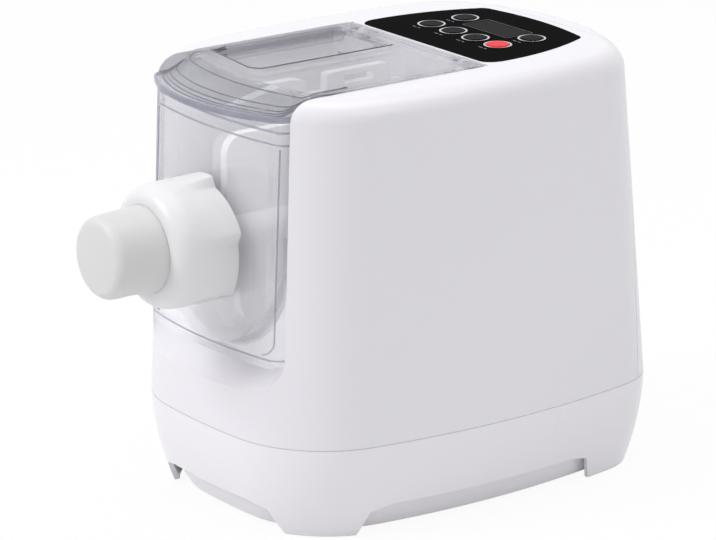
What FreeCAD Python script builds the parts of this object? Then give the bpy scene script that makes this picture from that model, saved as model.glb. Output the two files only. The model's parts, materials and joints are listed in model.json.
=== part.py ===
import FreeCAD, Part
import math
import os

os.makedirs("parts", exist_ok=True)

# Electric pasta maker, in millimetres. +Z is up, the spout points along -Y, and X = 0 is the
# plane through the spout. Heights are from the table. Every "y" below is measured back from the
# foremost point of the body, and the origin is under the middle of the whole length.

# Body: plan of eight arcs at the seam between the upper housing and the base
BODY_HALF_WIDTH = 100.0
BODY_DEPTH = 283.0
SIDE_ARC_R = 490.0
FRONT_ARC_R = 396.0
REAR_ARC_R = 131.0
FRONT_CORNER_R = 62.0
REAR_CORNER_R = 42.0
CORNER_DRAFT = 0.3
SEAM_Z = 55.0
TOP_Z = 248.5
TOP_INSET_SIDE = 5.3
TOP_INSET_FRONT = 6.3
TOP_INSET_REAR = 19.4
TOP_EDGE_R = 12.0
WALL = 2.6
PART_GAP = 0.3
COVER_DEPTH = 38.0
SPLIT_Y = BODY_DEPTH - COVER_DEPTH

# Base: skirt drawn in towards the feet, arched between them
BASE_INSETS = [(0.0, 0.0), (14.0, 0.9), (29.0, 3.4), (42.0, 6.7), (54.4, 10.6)]
ARCH_Z = 18.0
FOOT_FRONT_Y = 46.0
FOOT_REAR_Y = BODY_DEPTH - 69.0
FOOT_X = BODY_HALF_WIDTH - 43.0
ARCH_SLOPE = 15.0
DECK_T = 2.5
PAN_Z = 2.4
PAN_TOP_Z = 20.0
PAN_INSET = 17.8
PAN_T = 2.4
PAN_GAP = 1.0
PAD_R = 7.5
PAD_RECESS = 1.2
PAD_FRONT = (BODY_HALF_WIDTH - 38.0, 42.0)
PAD_REAR = (BODY_HALF_WIDTH - 48.0, BODY_DEPTH - 59.0)
PAD_PLACES = [(side * x, y) for x, y in (PAD_FRONT, PAD_REAR) for side in (-1, 1)]
BOSS_R = 5.0
SCREW_R = 1.6
SCREW_HEAD_R = 3.0
BOSS_FRONT = (BODY_HALF_WIDTH - 50.0, 62.0)
BOSS_REAR = (BODY_HALF_WIDTH - 54.0, BODY_DEPTH - 77.0)
BOSS_PLACES = [(side * x, y) for x, y in (BOSS_FRONT, BOSS_REAR) for side in (-1, 1)]

# Bay that holds the mixing bowl
AXIS_Z = 161.5
BAY_HALF_WIDTH = 63.0
BAY_FLOOR_Z = 97.0
BAY_CORNER_R = 10.0
DRIVE_DEPTH = 130.0
BAY_REAR_Y = BODY_DEPTH - DRIVE_DEPTH
BAY_WALL = 2.5
RECESS_Y = 18.0
BEVEL_WIDTH = 3.0
BEVEL_DROP = 18.0
BEVEL_CORNER_R = 17.0

# Mixing bowl: leaning bowed face, round-bottomed tub, spout for the dough
BOWL_GAP = 1.7
BOWL_WALL = 2.5
BOWL_FACE_Y = 3.0
BOWL_LEAN = 6.0
BOWL_FACE_R = 290.0
BOWL_FACE_T = 3.0
BOWL_CORNER_R = 9.0
BOWL_FOOT_Z = 98.7
BOWL_FOOT_R = 7.0
BOWL_APRON_Y = 16.0
BOWL_REAR_GAP = 8.5
BOWL_REAR_Y = BAY_REAR_Y - BOWL_REAR_GAP
BOWL_RIM_Z = 238.0
BOWL_FRONT_RIM_Z = 234.5
SPOUT_R = 30.0
SPOUT_BORE_R = 25.0

# Nut, die and cap on the spout
NUT_CLEAR = 0.08
NUT_REAR_Y = 3.5
NUT_LENGTH = 38.3
NUT_R = 35.2
NUT_REAR_FLARE = 0.9
NUT_SHOULDER_R = 9.0
NUT_LIP_T = 4.0
RIB_COUNT = 6
RIB_FIRST_DEG = 14.3
RIB_TIP_R = 38.4
RIB_LENGTH = 27.0
RIB_BACK_DEG = 26.0
RIB_FRONT_DEG = 7.0
DIE_R = 27.5
DIE_T = 6.0
DIE_HOLE_R = 1.6
DIE_HOLE_RING_R = 13.5
DIE_HOLES = 8
CAP_R = 24.6
CAP_END_R = 22.9
CAP_LENGTH = 36.0
CAP_WALL = 2.0
CAP_DOME = 2.2
CAP_EDGE_R = 4.0
CAP_SEAT = 3.0
CAP_FIT = 0.08
CAP_GRIP_R = 13.0
CAP_GRIP_DEPTH = 3.0

# Mixing shaft
HUB_R = 10.0
RUNNING_FIT = 0.06
PADDLE_R = 55.5
PADDLE_T = 6.0
BLADE_RIM = 12.0
BLADES = [(18.0, 72.0, 1, 12.0, False), (26.0, 56.0, -1, 14.9, False),
          (78.0, BOWL_REAR_Y - 10.5, -1, 6.0, True), (86.0, BOWL_REAR_Y - 14.5, 1, 6.0, True)]
AUGER_R = 24.0
AUGER_CORE_R = 9.0
AUGER_PITCH = 22.0
AUGER_ROOT_T = 5.0
AUGER_TIP_T = 3.0
AUGER_FRONT_Y = -20.0
AUGER_LENGTH = 37.0
AUGER_NOSE_R = 4.0
SOCKET_AF = 13.0
SOCKET_DEPTH = 15.0
SOCKET_CLEAR = 0.1
SEAL_T = 3.0

# Lid
LID_TOP_Z = 249.2
LID_HALF_WIDTH = 62.3
LID_T = 2.4
LID_PLATE_FRONT_Y = 28.5
LID_PLATE_FRONT_R = 170.0
LIP_FRONT_Y = -3.6
LIP_R = 120.0
LIP_Z = 237.0
LIP_T = 2.6
LIP_CORNER_R = 14.0
LIP_FLAT = 6.0
SKIRT_DEPTH = 5.0
SKIRT_T = 1.8
SKIRT_GAP = 0.6
RIM_CLEAR = 0.4
TRAY_X = -4.0
TRAY_DEPTH = 4.5
TRAY_FRONT_Y = 43.0
TRAY_CORNER_R = 8.0
TRAY_FUNNEL = 30.0
TRAY_STEP = 1.8
SLOT_W = 3.2
SLOT_X = -13.5
SLOT_SPANS = [(56.0, 83.0), (85.0, 101.0)]
HINGE_REACH = 3.7
HINGE_Y = BOWL_REAR_Y + HINGE_REACH
TRAY_REAR_Y = HINGE_Y - 10.2
HINGE_DROP = 2.9
PIN_R = 1.25
EAR_X = 46.0
EAR_T = 5.0
EAR_SIDE_GAP = 0.5

# Control panel
PANEL_FRONT_Y = BAY_REAR_Y + 8.0
PANEL_HALF_WIDTH = 60.0
PANEL_REAR_Y = BODY_DEPTH - 43.0
PANEL_T = 2.0
PANEL_PROUD = 0.2
PANEL_GAP = 0.2
PANEL_SHELF = 4.0
FRONT_ROW_Y = PANEL_FRONT_Y + 24.0
REAR_ROW_Y = FRONT_ROW_Y + 24.5
BUTTON_PITCH = 20.3
BUTTON_R = 6.7
BUTTON_GAP = 0.3
RING_WIDTH = 1.1
RING_PROUD = 0.5
BUTTON_PROUD = 0.9
BUTTON_TRAVEL = 1.2
BUTTON_FLANGE = 1.4
STEM_R = 2.2
WINDOW_HALF_WIDTH = 18.7
WINDOW_Y = (FRONT_ROW_Y + 15.5, FRONT_ROW_Y + 32.5)
BOARD_Z = 234.0
BOARD_T = 1.6
SWITCH_H = 3.6
PILLAR_R = 3.0
PILLAR_PLACES = [(-44.0, PANEL_FRONT_Y + 13.0), (44.0, PANEL_FRONT_Y + 13.0)]
PILLAR_PLACES += [(-22.0, PANEL_REAR_Y - 14.0), (22.0, PANEL_REAR_Y - 14.0)]

# Gear train: teeth, module and face width of each stage, from the shaft to the motor
WHEEL_COUNTS = [44, 42, 42]
PINION_COUNT = 14
MODULES = [1.5, 1.25, 1.0]
FACE_WIDTHS = [12.0, 8.0, 6.0]
STAGES = [(wheel, PINION_COUNT, module, width)
          for wheel, module, width in zip(WHEEL_COUNTS, MODULES, FACE_WIDTHS)]
STAGE_DIRECTIONS_DEG = [-62.0, -160.0, -100.0]
ADDENDUM = 0.85
DEDENDUM = 1.2
BACKLASH = 0.25
PRESSURE_DEG = 20.0
GEARBOX_WALL = 3.0
GEARBOX_CLEAR = 2.0
GEARBOX_DEPTH = 42.0
AXLE_R = 3.0
BEARING_R = 12.0
OUTPUT_R = 8.0
MOTOR_R = 24.0
MOTOR_LENGTH = 54.0
MOTOR_SHAFT_R = 2.5
FAN_R = 22.0
FAN_BLADES = 7

BOARD_GAP = 0.2
GLAND_X = 44.0
GLAND_Z = 35.0
GLAND_R = 6.0
GLAND_BORE_R = 3.7
GLAND_FLANGE_R = 8.5
GLAND_FLANGE_T = 2.4
GLAND_POCKET_R = 10.0

NUT_FRONT_Y = NUT_REAR_Y - NUT_LENGTH
CAP_TIP_Y = NUT_FRONT_Y + CAP_SEAT - CAP_LENGTH
NOSE_REACH = -CAP_TIP_Y
FRONT_Y = NOSE_REACH / 2 - BODY_DEPTH / 2


def at(x, y, z):
    return FreeCAD.Vector(x, FRONT_Y + y, z)


def box(x0, x1, y0, y1, z0, z1):
    return Part.makeBox(x1 - x0, y1 - y0, z1 - z0, at(x0, y0, z0))


def rod(radius, x, y0, y1, z):
    """round bar along Y"""
    return Part.makeCylinder(radius, y1 - y0, at(x, y0, z), FreeCAD.Vector(0, 1, 0))


def post(radius, x, y, z0, z1):
    """round bar along Z"""
    return Part.makeCylinder(radius, z1 - z0, at(x, y, z0))


def cross_rod(radius, x0, x1, y, z):
    """round bar along X"""
    return Part.makeCylinder(radius, x1 - x0, at(x0, y, z), FreeCAD.Vector(1, 0, 0))


def fuse(shapes):
    shapes = list(shapes)
    return shapes[0].fuse(shapes[1:]).removeSplitter()


def write(name, shape):
    shape.exportStep("parts/" + name + ".step")


def write_group(name, shapes):
    write(name, Part.makeCompound(list(shapes)))


def arc3(a, b, c):
    return Part.Arc(a, b, c).toShape()


def circles_meet(x1, y1, r1, x2, y2, r2, want_rear):
    """where two circles cross, on the +X side, at the front or the rear"""
    gap = math.hypot(x2 - x1, y2 - y1)
    along = (r1 * r1 - r2 * r2 + gap * gap) / (2 * gap)
    off = math.sqrt(max(r1 * r1 - along * along, 0.0))
    ux = (x2 - x1) / gap
    uy = (y2 - y1) / gap
    points = []
    for sign in (1, -1):
        points.append((x1 + along * ux - sign * off * uy, y1 + along * uy + sign * off * ux))
    points.sort(key=lambda p: p[0] + (p[1] if want_rear else -p[1]))
    return points[1]


def push(centre, through, radius):
    """point on a circle round centre, in the direction of another point"""
    dx = through[0] - centre[0]
    dy = through[1] - centre[1]
    length = math.hypot(dx, dy)
    return (centre[0] + dx * radius / length, centre[1] + dy * radius / length)


def corner_arc(corner, radius, start, end):
    """start, middle and end of the small arc round a corner's centre"""
    mx = start[0] + end[0] - 2 * corner[0]
    my = start[1] + end[1] - 2 * corner[1]
    return [start, push(corner, (corner[0] + mx, corner[1] + my), radius), end]


def outline(side, front, rear, z):
    """plan of the body, drawn in by side, front and rear, as a closed wire of eight arcs"""
    half = BODY_HALF_WIDTH - side
    y_front = front
    y_rear = BODY_DEPTH - rear
    front_r = max(FRONT_CORNER_R - CORNER_DRAFT * side, 5.0)
    rear_r = max(REAR_CORNER_R - CORNER_DRAFT * side, 5.0)
    front_c = (0.0, y_front + FRONT_ARC_R)
    rear_c = (0.0, y_rear - REAR_ARC_R)
    side_c = (half - SIDE_ARC_R, (y_front + y_rear) / 2)
    fc = circles_meet(*front_c, FRONT_ARC_R - front_r, *side_c, SIDE_ARC_R - front_r, False)
    rc = circles_meet(*rear_c, REAR_ARC_R - rear_r, *side_c, SIDE_ARC_R - rear_r, True)
    front_end = push(front_c, fc, FRONT_ARC_R)
    side_start = push(side_c, fc, SIDE_ARC_R)
    side_end = push(side_c, rc, SIDE_ARC_R)
    rear_end = push(rear_c, rc, REAR_ARC_R)
    right = [corner_arc(fc, front_r, front_end, side_start)]
    right.append([side_start, (half, side_c[1]), side_end])
    right.append(corner_arc(rc, rear_r, side_end, rear_end))
    left = []
    for arc in reversed(right):
        left.append([(-p[0], p[1]) for p in reversed(arc)])
    rear_arc = [rear_end, (0.0, y_rear), (-rear_end[0], rear_end[1])]
    front_arc = [(-front_end[0], front_end[1]), (0.0, y_front), front_end]
    arcs = [front_arc] + right + [rear_arc] + left
    return Part.Wire([arc3(*[at(p[0], p[1], z) for p in arc]) for arc in arcs])


def upper_block(inset, z0, z1):
    """the upper body's outside, drawn in by inset, with its rounded top edge"""
    def level(z):
        share = (z - SEAM_Z) / (TOP_Z - SEAM_Z)
        side = inset + TOP_INSET_SIDE * share
        front = inset + TOP_INSET_FRONT * share
        rear = inset + TOP_INSET_REAR * share
        return outline(side, front, rear, z)
    block = Part.makeLoft([level(z0), level(z1)], True, True)
    top = [e for e in block.Edges if all(abs(v.Z - z1) < 1e-3 for v in e.Vertexes)]
    return block.makeFillet(TOP_EDGE_R - inset, top)


def round_slot(half, z_low, z_high, radius, y):
    """upright U outline across the body, closed at z_high, with rounded lower corners"""
    k = radius * (1 - math.sqrt(0.5))
    points = [at(-half, y, z_high), at(-half, y, z_low + radius), at(-half + k, y, z_low + k)]
    points += [at(-half + radius, y, z_low), at(half - radius, y, z_low)]
    points += [at(half - k, y, z_low + k), at(half, y, z_low + radius), at(half, y, z_high)]
    edges = [Part.makeLine(points[0], points[1]), arc3(*points[1:4])]
    edges += [Part.makeLine(points[3], points[4]), arc3(*points[4:7])]
    edges += [Part.makeLine(points[6], points[7]), Part.makeLine(points[7], points[0])]
    return Part.Wire(edges)


def bay(grow):
    """space of the bay, larger all round by grow"""
    half = BAY_HALF_WIDTH + grow
    above = TOP_Z + 20.0
    rear = BAY_REAR_Y + grow
    front = Part.Face(round_slot(half, BAY_FLOOR_Z - grow, above, BAY_CORNER_R + grow, -20.0))
    recess = front.extrude(FreeCAD.Vector(0, 20.0 + RECESS_Y + grow, 0))
    upright = box(-half, half, 0.0, rear, AXIS_Z, above)
    trough = rod(half, 0.0, 0.0, rear, AXIS_Z)
    return fuse([recess, upright, trough])


def bay_bevel(grow):
    """the sloped frame round the bay's mouth, from the front face in to the bowl"""
    above = TOP_Z + 20.0
    reach = RECESS_Y + 2.0
    inner = round_slot(BAY_HALF_WIDTH + grow, BAY_FLOOR_Z - grow, above, BAY_CORNER_R + grow, RECESS_Y)
    outer_half = BAY_HALF_WIDTH + BEVEL_WIDTH + grow
    outer_low = BAY_FLOOR_Z - BEVEL_DROP - grow
    outer = round_slot(outer_half, outer_low, above, BEVEL_CORNER_R + grow, RECESS_Y - reach)
    return Part.makeLoft([outer, inner], True, True)


def panel_outline(shrink, z):
    """plan of the control panel: straight front, sides drawn in to a bowed rear"""
    half = PANEL_HALF_WIDTH - shrink
    front = PANEL_FRONT_Y + shrink
    rear = PANEL_REAR_Y - shrink
    r = 8.0
    k = r * (1 - math.sqrt(0.5))
    right = [[(half - r, front), (half - k, front + k), (half, front + r)]]
    right.append([(half, front + r), (half - 3.6, rear - 40.0), (half - 14.0, rear - 9.5)])
    right.append([(half - 14.0, rear - 9.5), (half - 16.6, rear - 5.6), (half - 20.5, rear - 4.2)])
    left = []
    for arc in reversed(right):
        left.append([(-p[0], p[1]) for p in reversed(arc)])
    rear_arc = [(half - 20.5, rear - 4.2), (0.0, rear), (20.5 - half, rear - 4.2)]
    edges = [Part.makeLine(at(r - half, front, z), at(half - r, front, z))]
    for arc in right + [rear_arc] + left:
        edges.append(arc3(*[at(p[0], p[1], z) for p in arc]))
    return Part.Wire(edges)


def plate(wire, height):
    return Part.Face(wire).extrude(FreeCAD.Vector(0, 0, height))


# Upper housing and rear cover, one moulded shell parted across the back

def housing_shell():
    outside = upper_block(0.0, SEAM_Z, TOP_Z)
    inside = upper_block(WALL, SEAM_Z, TOP_Z - WALL)
    hollow = inside.cut(bay(BAY_WALL)).cut(bay_bevel(BAY_WALL))
    shell = outside.cut(hollow).cut(bay(0.0)).cut(bay_bevel(0.0))
    panel_seat_z = TOP_Z - PANEL_T + PANEL_PROUD
    shell = shell.fuse(plate(panel_outline(-WALL, TOP_Z - 2 * WALL), 1.5 * WALL))
    shell = shell.cut(plate(panel_outline(-PANEL_GAP, panel_seat_z), 10.0))
    shell = shell.cut(plate(panel_outline(PANEL_SHELF, TOP_Z - 20.0), 30.0))
    shell = shell.cut(rod(OUTPUT_R + 3.0, 0.0, BAY_REAR_Y - 1.0, BAY_REAR_Y + BAY_WALL + 1.0, AXIS_Z))
    return shell


def largest(shape):
    solids = sorted(shape.Solids, key=lambda s: s.Volume)
    return solids[-1]


def make_housing():
    shell = housing_shell()
    far = BODY_DEPTH + 20.0
    front = box(-120.0, 120.0, -20.0, SPLIT_Y - PART_GAP / 2, 0.0, TOP_Z + 20.0)
    rear = box(-120.0, 120.0, SPLIT_Y + PART_GAP / 2, far, 0.0, TOP_Z + 20.0)
    cover = shell.common(rear)
    for row in range(9):
        z = 98.0 + 11.0 * row
        for side in (-1, 1):
            x = side * 22.0
            slot = fuse([box(x - 14.0, x + 14.0, SPLIT_Y + 4.0, far, z - 2.0, z + 2.0),
                         rod(2.0, x - 14.0, SPLIT_Y + 4.0, far, z),
                         rod(2.0, x + 14.0, SPLIT_Y + 4.0, far, z)])
            cover = cover.cut(slot)
    write("upper_housing", largest(shell.common(front)))
    write("rear_cover", largest(cover))


# Base

def base_level(inset, z):
    drop = SEAM_Z - z
    steps = BASE_INSETS
    for (d0, i0), (d1, i1) in zip(steps, steps[1:]):
        if d0 <= drop <= d1:
            own = i0 + (i1 - i0) * (drop - d0) / (d1 - d0)
            return outline(inset + own, inset + own, inset + own, z)
    return outline(inset + steps[-1][1], inset + steps[-1][1], inset + steps[-1][1], z)


def base_block(inset, z0, z1):
    levels = [z0] + [SEAM_Z - d for d, i in reversed(BASE_INSETS) if z0 < SEAM_Z - d < z1] + [z1]
    return Part.makeLoft([base_level(inset, z) for z in levels], True, False)


def arch(across, start, end):
    """cutter for the arch between two feet, along Y or along X"""
    top = ARCH_Z
    s = ARCH_SLOPE
    r = 0.45 * s
    profile = [(start, -5.0), (start + 0.25 * s, 2.0), (start + s - r, top - 3.0), (start + s + r, top)]
    profile += [(end - s - r, top), (end - s + r, top - 3.0), (end - 0.25 * s, 2.0), (end, -5.0)]
    if across:
        points = [at(-150.0, a, z) for a, z in profile]
        direction = FreeCAD.Vector(300.0, 0, 0)
    else:
        points = [at(a, -30.0, z) for a, z in profile]
        direction = FreeCAD.Vector(0, BODY_DEPTH + 60.0, 0)
    return Part.Face(Part.makePolygon(points + points[:1])).extrude(direction)


def make_base():
    low = SEAM_Z - BASE_INSETS[-1][0]
    skirt = base_block(0.0, low, SEAM_Z)
    skirt = skirt.cut(base_block(WALL, low, SEAM_Z - DECK_T))
    skirt = skirt.cut(arch(True, FOOT_FRONT_Y, FOOT_REAR_Y))
    skirt = skirt.cut(arch(False, -FOOT_X, FOOT_X))
    skirt = largest(skirt)
    for x, y in BOSS_PLACES:
        boss = post(BOSS_R, x, y, PAN_Z + PAN_T, SEAM_Z - DECK_T / 2)
        skirt = skirt.fuse(boss)
    for x, y in BOSS_PLACES:
        skirt = skirt.cut(post(SCREW_R, x, y, 0.0, SEAM_Z - 2 * DECK_T))
    skirt = skirt.cut(box(-20.0, 20.0, 60.0, 76.0, SEAM_Z - 2 * DECK_T, SEAM_Z + 1.0))
    seat_y = gland_seat_y()
    seat = rod(GLAND_POCKET_R + WALL, GLAND_X, seat_y - WALL, BODY_DEPTH, GLAND_Z)
    skirt = skirt.fuse(seat.common(base_block(0.0, low, SEAM_Z)))
    skirt = skirt.cut(rod(GLAND_POCKET_R, GLAND_X, seat_y, BODY_DEPTH + 5.0, GLAND_Z))
    skirt = skirt.cut(rod(GLAND_R, GLAND_X, seat_y - 2 * WALL, BODY_DEPTH, GLAND_Z))
    write("base_skirt", skirt.removeSplitter())

    rim_inset = WALL + PAN_GAP
    pan_low = outline(PAN_INSET, PAN_INSET, PAN_INSET, PAN_Z)
    pan_high = base_level(rim_inset, PAN_TOP_Z)
    pan = Part.makeLoft([pan_low, pan_high], True, True)
    hollow_low = outline(PAN_INSET + PAN_T, PAN_INSET + PAN_T, PAN_INSET + PAN_T, PAN_Z + PAN_T)
    hollow_high = base_level(rim_inset + PAN_T, PAN_TOP_Z + 1.0)
    pan = pan.cut(Part.makeLoft([hollow_low, hollow_high], True, True))
    for x, y in PAD_PLACES:
        pan = pan.cut(post(PAD_R + 0.1, x, y, 0.0, PAN_Z + PAD_RECESS))
    for x, y in BOSS_PLACES:
        pan = pan.cut(post(SCREW_R + 0.3, x, y, 0.0, PAN_Z + PAN_T + 1.0))
        pan = pan.cut(post(SCREW_HEAD_R + 0.3, x, y, 0.0, PAN_Z + 1.2))
    for column in range(-3, 4):
        x = 9.0 * column
        pan = pan.cut(box(x - 2.0, x + 2.0, 120.0, 160.0, 0.0, PAN_Z + PAN_T + 1.0))
    write("base_pan", pan)
    write_group("foot_pads", [post(PAD_R, x, y, 0.0, PAN_Z + PAD_RECESS) for x, y in PAD_PLACES])
    screws = []
    for x, y in BOSS_PLACES:
        head = post(SCREW_HEAD_R, x, y, PAN_Z - 0.6, PAN_Z + 1.2)
        screws.append(head.fuse(post(SCREW_R, x, y, PAN_Z + 1.0, PAN_Z + 20.0)))
    write_group("base_screws", screws)


def gland_seat_y():
    """floor of the round pocket in the skirt's rear where the cord gland sits"""
    far = GLAND_X + GLAND_FLANGE_R
    bow = REAR_ARC_R - math.sqrt(REAR_ARC_R ** 2 - far ** 2)
    return BODY_DEPTH - bow - BASE_INSETS[2][1]


def make_gland():
    y = gland_seat_y()
    body = fuse([rod(GLAND_R - RUNNING_FIT, GLAND_X, y - 2 * WALL, y + 1.0, GLAND_Z),
                 rod(GLAND_FLANGE_R, GLAND_X, y, y + GLAND_FLANGE_T, GLAND_Z)])
    write("cord_gland", body.cut(rod(GLAND_BORE_R, GLAND_X, y - 12.0, y + 12.0, GLAND_Z)))


# Mixing bowl

def bowl_plan(inset, back_y, z):
    """plan of the bowl at height z: bowed leaning face, rounded corners, straight sides"""
    lean = BOWL_LEAN * (z - BOWL_FOOT_Z) / (BOWL_RIM_Z - BOWL_FOOT_Z)
    face = BOWL_FACE_Y + lean + inset
    half = BAY_HALF_WIDTH - BOWL_GAP - inset
    r = max(BOWL_CORNER_R - inset, 1.0)
    big = BOWL_FACE_R - inset
    cy = face + big
    corner_x = half - r
    corner_y = cy - math.sqrt((big - r) ** 2 - corner_x ** 2)
    touch = push((0.0, cy), (corner_x, corner_y), big)
    arc = corner_arc((corner_x, corner_y), r, touch, (half, corner_y))
    left = [(-p[0], p[1]) for p in reversed(arc)]
    edges = [arc3(at(*left[-1], z), at(0.0, face, z), at(*arc[0], z))]
    edges.append(arc3(*[at(p[0], p[1], z) for p in arc]))
    edges.append(Part.makeLine(at(half, corner_y, z), at(half, back_y, z)))
    edges.append(Part.makeLine(at(half, back_y, z), at(-half, back_y, z)))
    edges.append(Part.makeLine(at(-half, back_y, z), at(-half, corner_y, z)))
    edges.append(arc3(*[at(p[0], p[1], z) for p in left]))
    return Part.Wire(edges)


def bowl_block(inset, back_y, z0, z1):
    return Part.makeLoft([bowl_plan(inset, back_y, z0), bowl_plan(inset, back_y, z1)], True, True)


def tub(inset, y0, y1, top):
    """round-bottomed U bar along Y"""
    half = BAY_HALF_WIDTH - BOWL_GAP - inset
    return fuse([rod(half, 0.0, y0, y1, AXIS_Z), box(-half, half, y0, y1, AXIS_Z, top)])


def make_bowl():
    rim = BOWL_RIM_Z
    half = BAY_HALF_WIDTH - BOWL_GAP
    apron = Part.Face(round_slot(half, BOWL_FOOT_Z, rim, BOWL_FOOT_R, -10.0))
    apron = apron.extrude(FreeCAD.Vector(0, BOWL_APRON_Y + 10.0, 0))
    outside = bowl_block(0.0, BOWL_REAR_Y, BOWL_FOOT_Z, rim)
    outside = outside.common(apron.fuse(tub(0.0, 0.0, BOWL_REAR_Y, rim)))
    inside = bowl_block(BOWL_FACE_T, BOWL_REAR_Y - BOWL_WALL, BOWL_FOOT_Z, rim + 20.0)
    inside = inside.common(tub(BOWL_WALL, 0.0, BOWL_REAR_Y, rim + 30.0))
    relief = bowl_block(BOWL_FACE_T, BOWL_APRON_Y + 1.0, BOWL_FOOT_Z - 5.0, AXIS_Z)
    relief = relief.cut(tub(0.0, -20.0, BOWL_REAR_Y, AXIS_Z + 1.0))
    slot = Part.Face(round_slot(half - BOWL_WALL, BOWL_FOOT_Z + BOWL_WALL, AXIS_Z, BOWL_FOOT_R, -10.0))
    relief = relief.common(slot.extrude(FreeCAD.Vector(0, 60.0, 0)))
    bowl = outside.cut(relief)
    collar_y = spout_root_y()
    bowl = bowl.fuse(rod(SPOUT_R, 0.0, NUT_FRONT_Y + NUT_LIP_T + DIE_T, collar_y + BOWL_FACE_T, AXIS_Z))
    bowl = bowl.cut(inside)
    bowl = bowl.cut(rod(SPOUT_BORE_R, 0.0, -60.0, collar_y + 20.0, AXIS_Z))
    rear_boss = rod(HUB_R + 5.0, 0.0, BOWL_REAR_Y - 6.0, BOWL_REAR_Y, AXIS_Z)
    bowl = bowl.fuse(rear_boss)
    bowl = bowl.cut(rod(HUB_R + SEAL_T, 0.0, BOWL_REAR_Y - 10.0, BOWL_REAR_Y + 10.0, AXIS_Z))
    bowl = bowl.cut(box(-80.0, 80.0, -20.0, BOWL_APRON_Y, BOWL_FRONT_RIM_Z, rim + 10.0))
    pin_z = LID_TOP_Z - HINGE_DROP
    for side in (-1, 1):
        x0 = side * EAR_X - EAR_T / 2
        web = box(x0, x0 + EAR_T, BOWL_REAR_Y - BOWL_WALL, HINGE_Y + HINGE_DROP, rim - 12.0, pin_z)
        ear = web.fuse(cross_rod(HINGE_DROP, x0, x0 + EAR_T, HINGE_Y, pin_z))
        ear = ear.cut(cross_rod(PIN_R + RUNNING_FIT, x0 - 1.0, x0 + EAR_T + 1.0, HINGE_Y, pin_z))
        bowl = bowl.fuse(ear)
    write("mixing_bowl", largest(bowl.removeSplitter()))
    seal = rod(HUB_R + SEAL_T, 0.0, BOWL_REAR_Y - 6.0, BOWL_REAR_Y - 1.0, AXIS_Z)
    write("shaft_seal", seal.cut(rod(HUB_R + RUNNING_FIT, 0.0, BOWL_REAR_Y - 9.0, BOWL_REAR_Y, AXIS_Z)))


def spout_root_y():
    """where the leaning face is at the height of the spout"""
    return BOWL_FACE_Y + BOWL_LEAN * (AXIS_Z - BOWL_FOOT_Z) / (BOWL_RIM_Z - BOWL_FOOT_Z)


# Nut, die and cap

def make_nut():
    front = NUT_FRONT_Y
    rear = NUT_REAR_Y
    s = NUT_SHOULDER_R
    bore = CAP_R + CAP_FIT
    a = at(bore, front, AXIS_Z)
    b = at(NUT_R - s, front, AXIS_Z)
    c = at(NUT_R - s * (1 - math.sqrt(0.5)), front + 1.35 * s * (1 - math.sqrt(0.5)), AXIS_Z)
    d = at(NUT_R, front + 1.35 * s, AXIS_Z)
    e = at(NUT_R + NUT_REAR_FLARE, rear, AXIS_Z)
    f = at(bore, rear, AXIS_Z)
    edges = [Part.makeLine(a, b), arc3(b, c, d), Part.makeLine(d, e), Part.makeLine(e, f)]
    edges.append(Part.makeLine(f, a))
    nut = Part.Face(Part.Wire(edges)).revolve(at(0.0, 0.0, AXIS_Z), FreeCAD.Vector(0, 1, 0), 360.0)
    for index in range(RIB_COUNT):
        nut = nut.fuse(nut_rib(RIB_FIRST_DEG + 360.0 / RIB_COUNT * index))
    thread_r = SPOUT_R + NUT_CLEAR
    nut = nut.cut(rod(thread_r, 0.0, front + NUT_LIP_T, rear + 1.0, AXIS_Z))
    write("die_nut", nut.removeSplitter())


def around(radius, degrees, y):
    """point round the spout's axis, degrees from straight up towards +X"""
    turn = math.radians(degrees)
    return at(radius * math.sin(turn), y, AXIS_Z + radius * math.cos(turn))


def nut_rib(degrees):
    """wedge rib that rises towards the rear, with a long back and a short face"""
    rear = NUT_REAR_Y
    front = NUT_REAR_Y - RIB_LENGTH
    root = NUT_R - 2.5
    back = around(NUT_R, degrees - RIB_BACK_DEG, rear)
    foot = around(NUT_R, degrees + RIB_FRONT_DEG, rear)
    low_back = around(root, degrees - RIB_BACK_DEG, rear)
    low_foot = around(root, degrees + RIB_FRONT_DEG, rear)
    tip = around(RIB_TIP_R, degrees, rear)
    end = Part.makePolygon([low_back, back, tip, foot, low_foot, low_back])
    near = [around(root - 1.0, degrees - RIB_BACK_DEG, front)]
    near.append(around(root + 1.0, degrees - RIB_BACK_DEG, front))
    near += [around(NUT_R - 0.6, degrees, front), around(root + 1.0, degrees + RIB_FRONT_DEG, front)]
    near += [around(root - 1.0, degrees + RIB_FRONT_DEG, front)]
    start = Part.makePolygon(near + near[:1])
    return Part.makeLoft([start, end], True, True)


def make_die():
    front = NUT_FRONT_Y + NUT_LIP_T
    die = rod(DIE_R, 0.0, front, front + DIE_T, AXIS_Z)
    die = die.cut(rod(SPOUT_BORE_R - 4.0, 0.0, front + DIE_T / 2, front + DIE_T + 1.0, AXIS_Z))
    for index in range(DIE_HOLES):
        centre = around(DIE_HOLE_RING_R, 360.0 / DIE_HOLES * index, 0.0)
        die = die.cut(rod(DIE_HOLE_R, centre.x, front - 1.0, front + DIE_T, centre.z))
    write("pasta_die", die)


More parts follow.
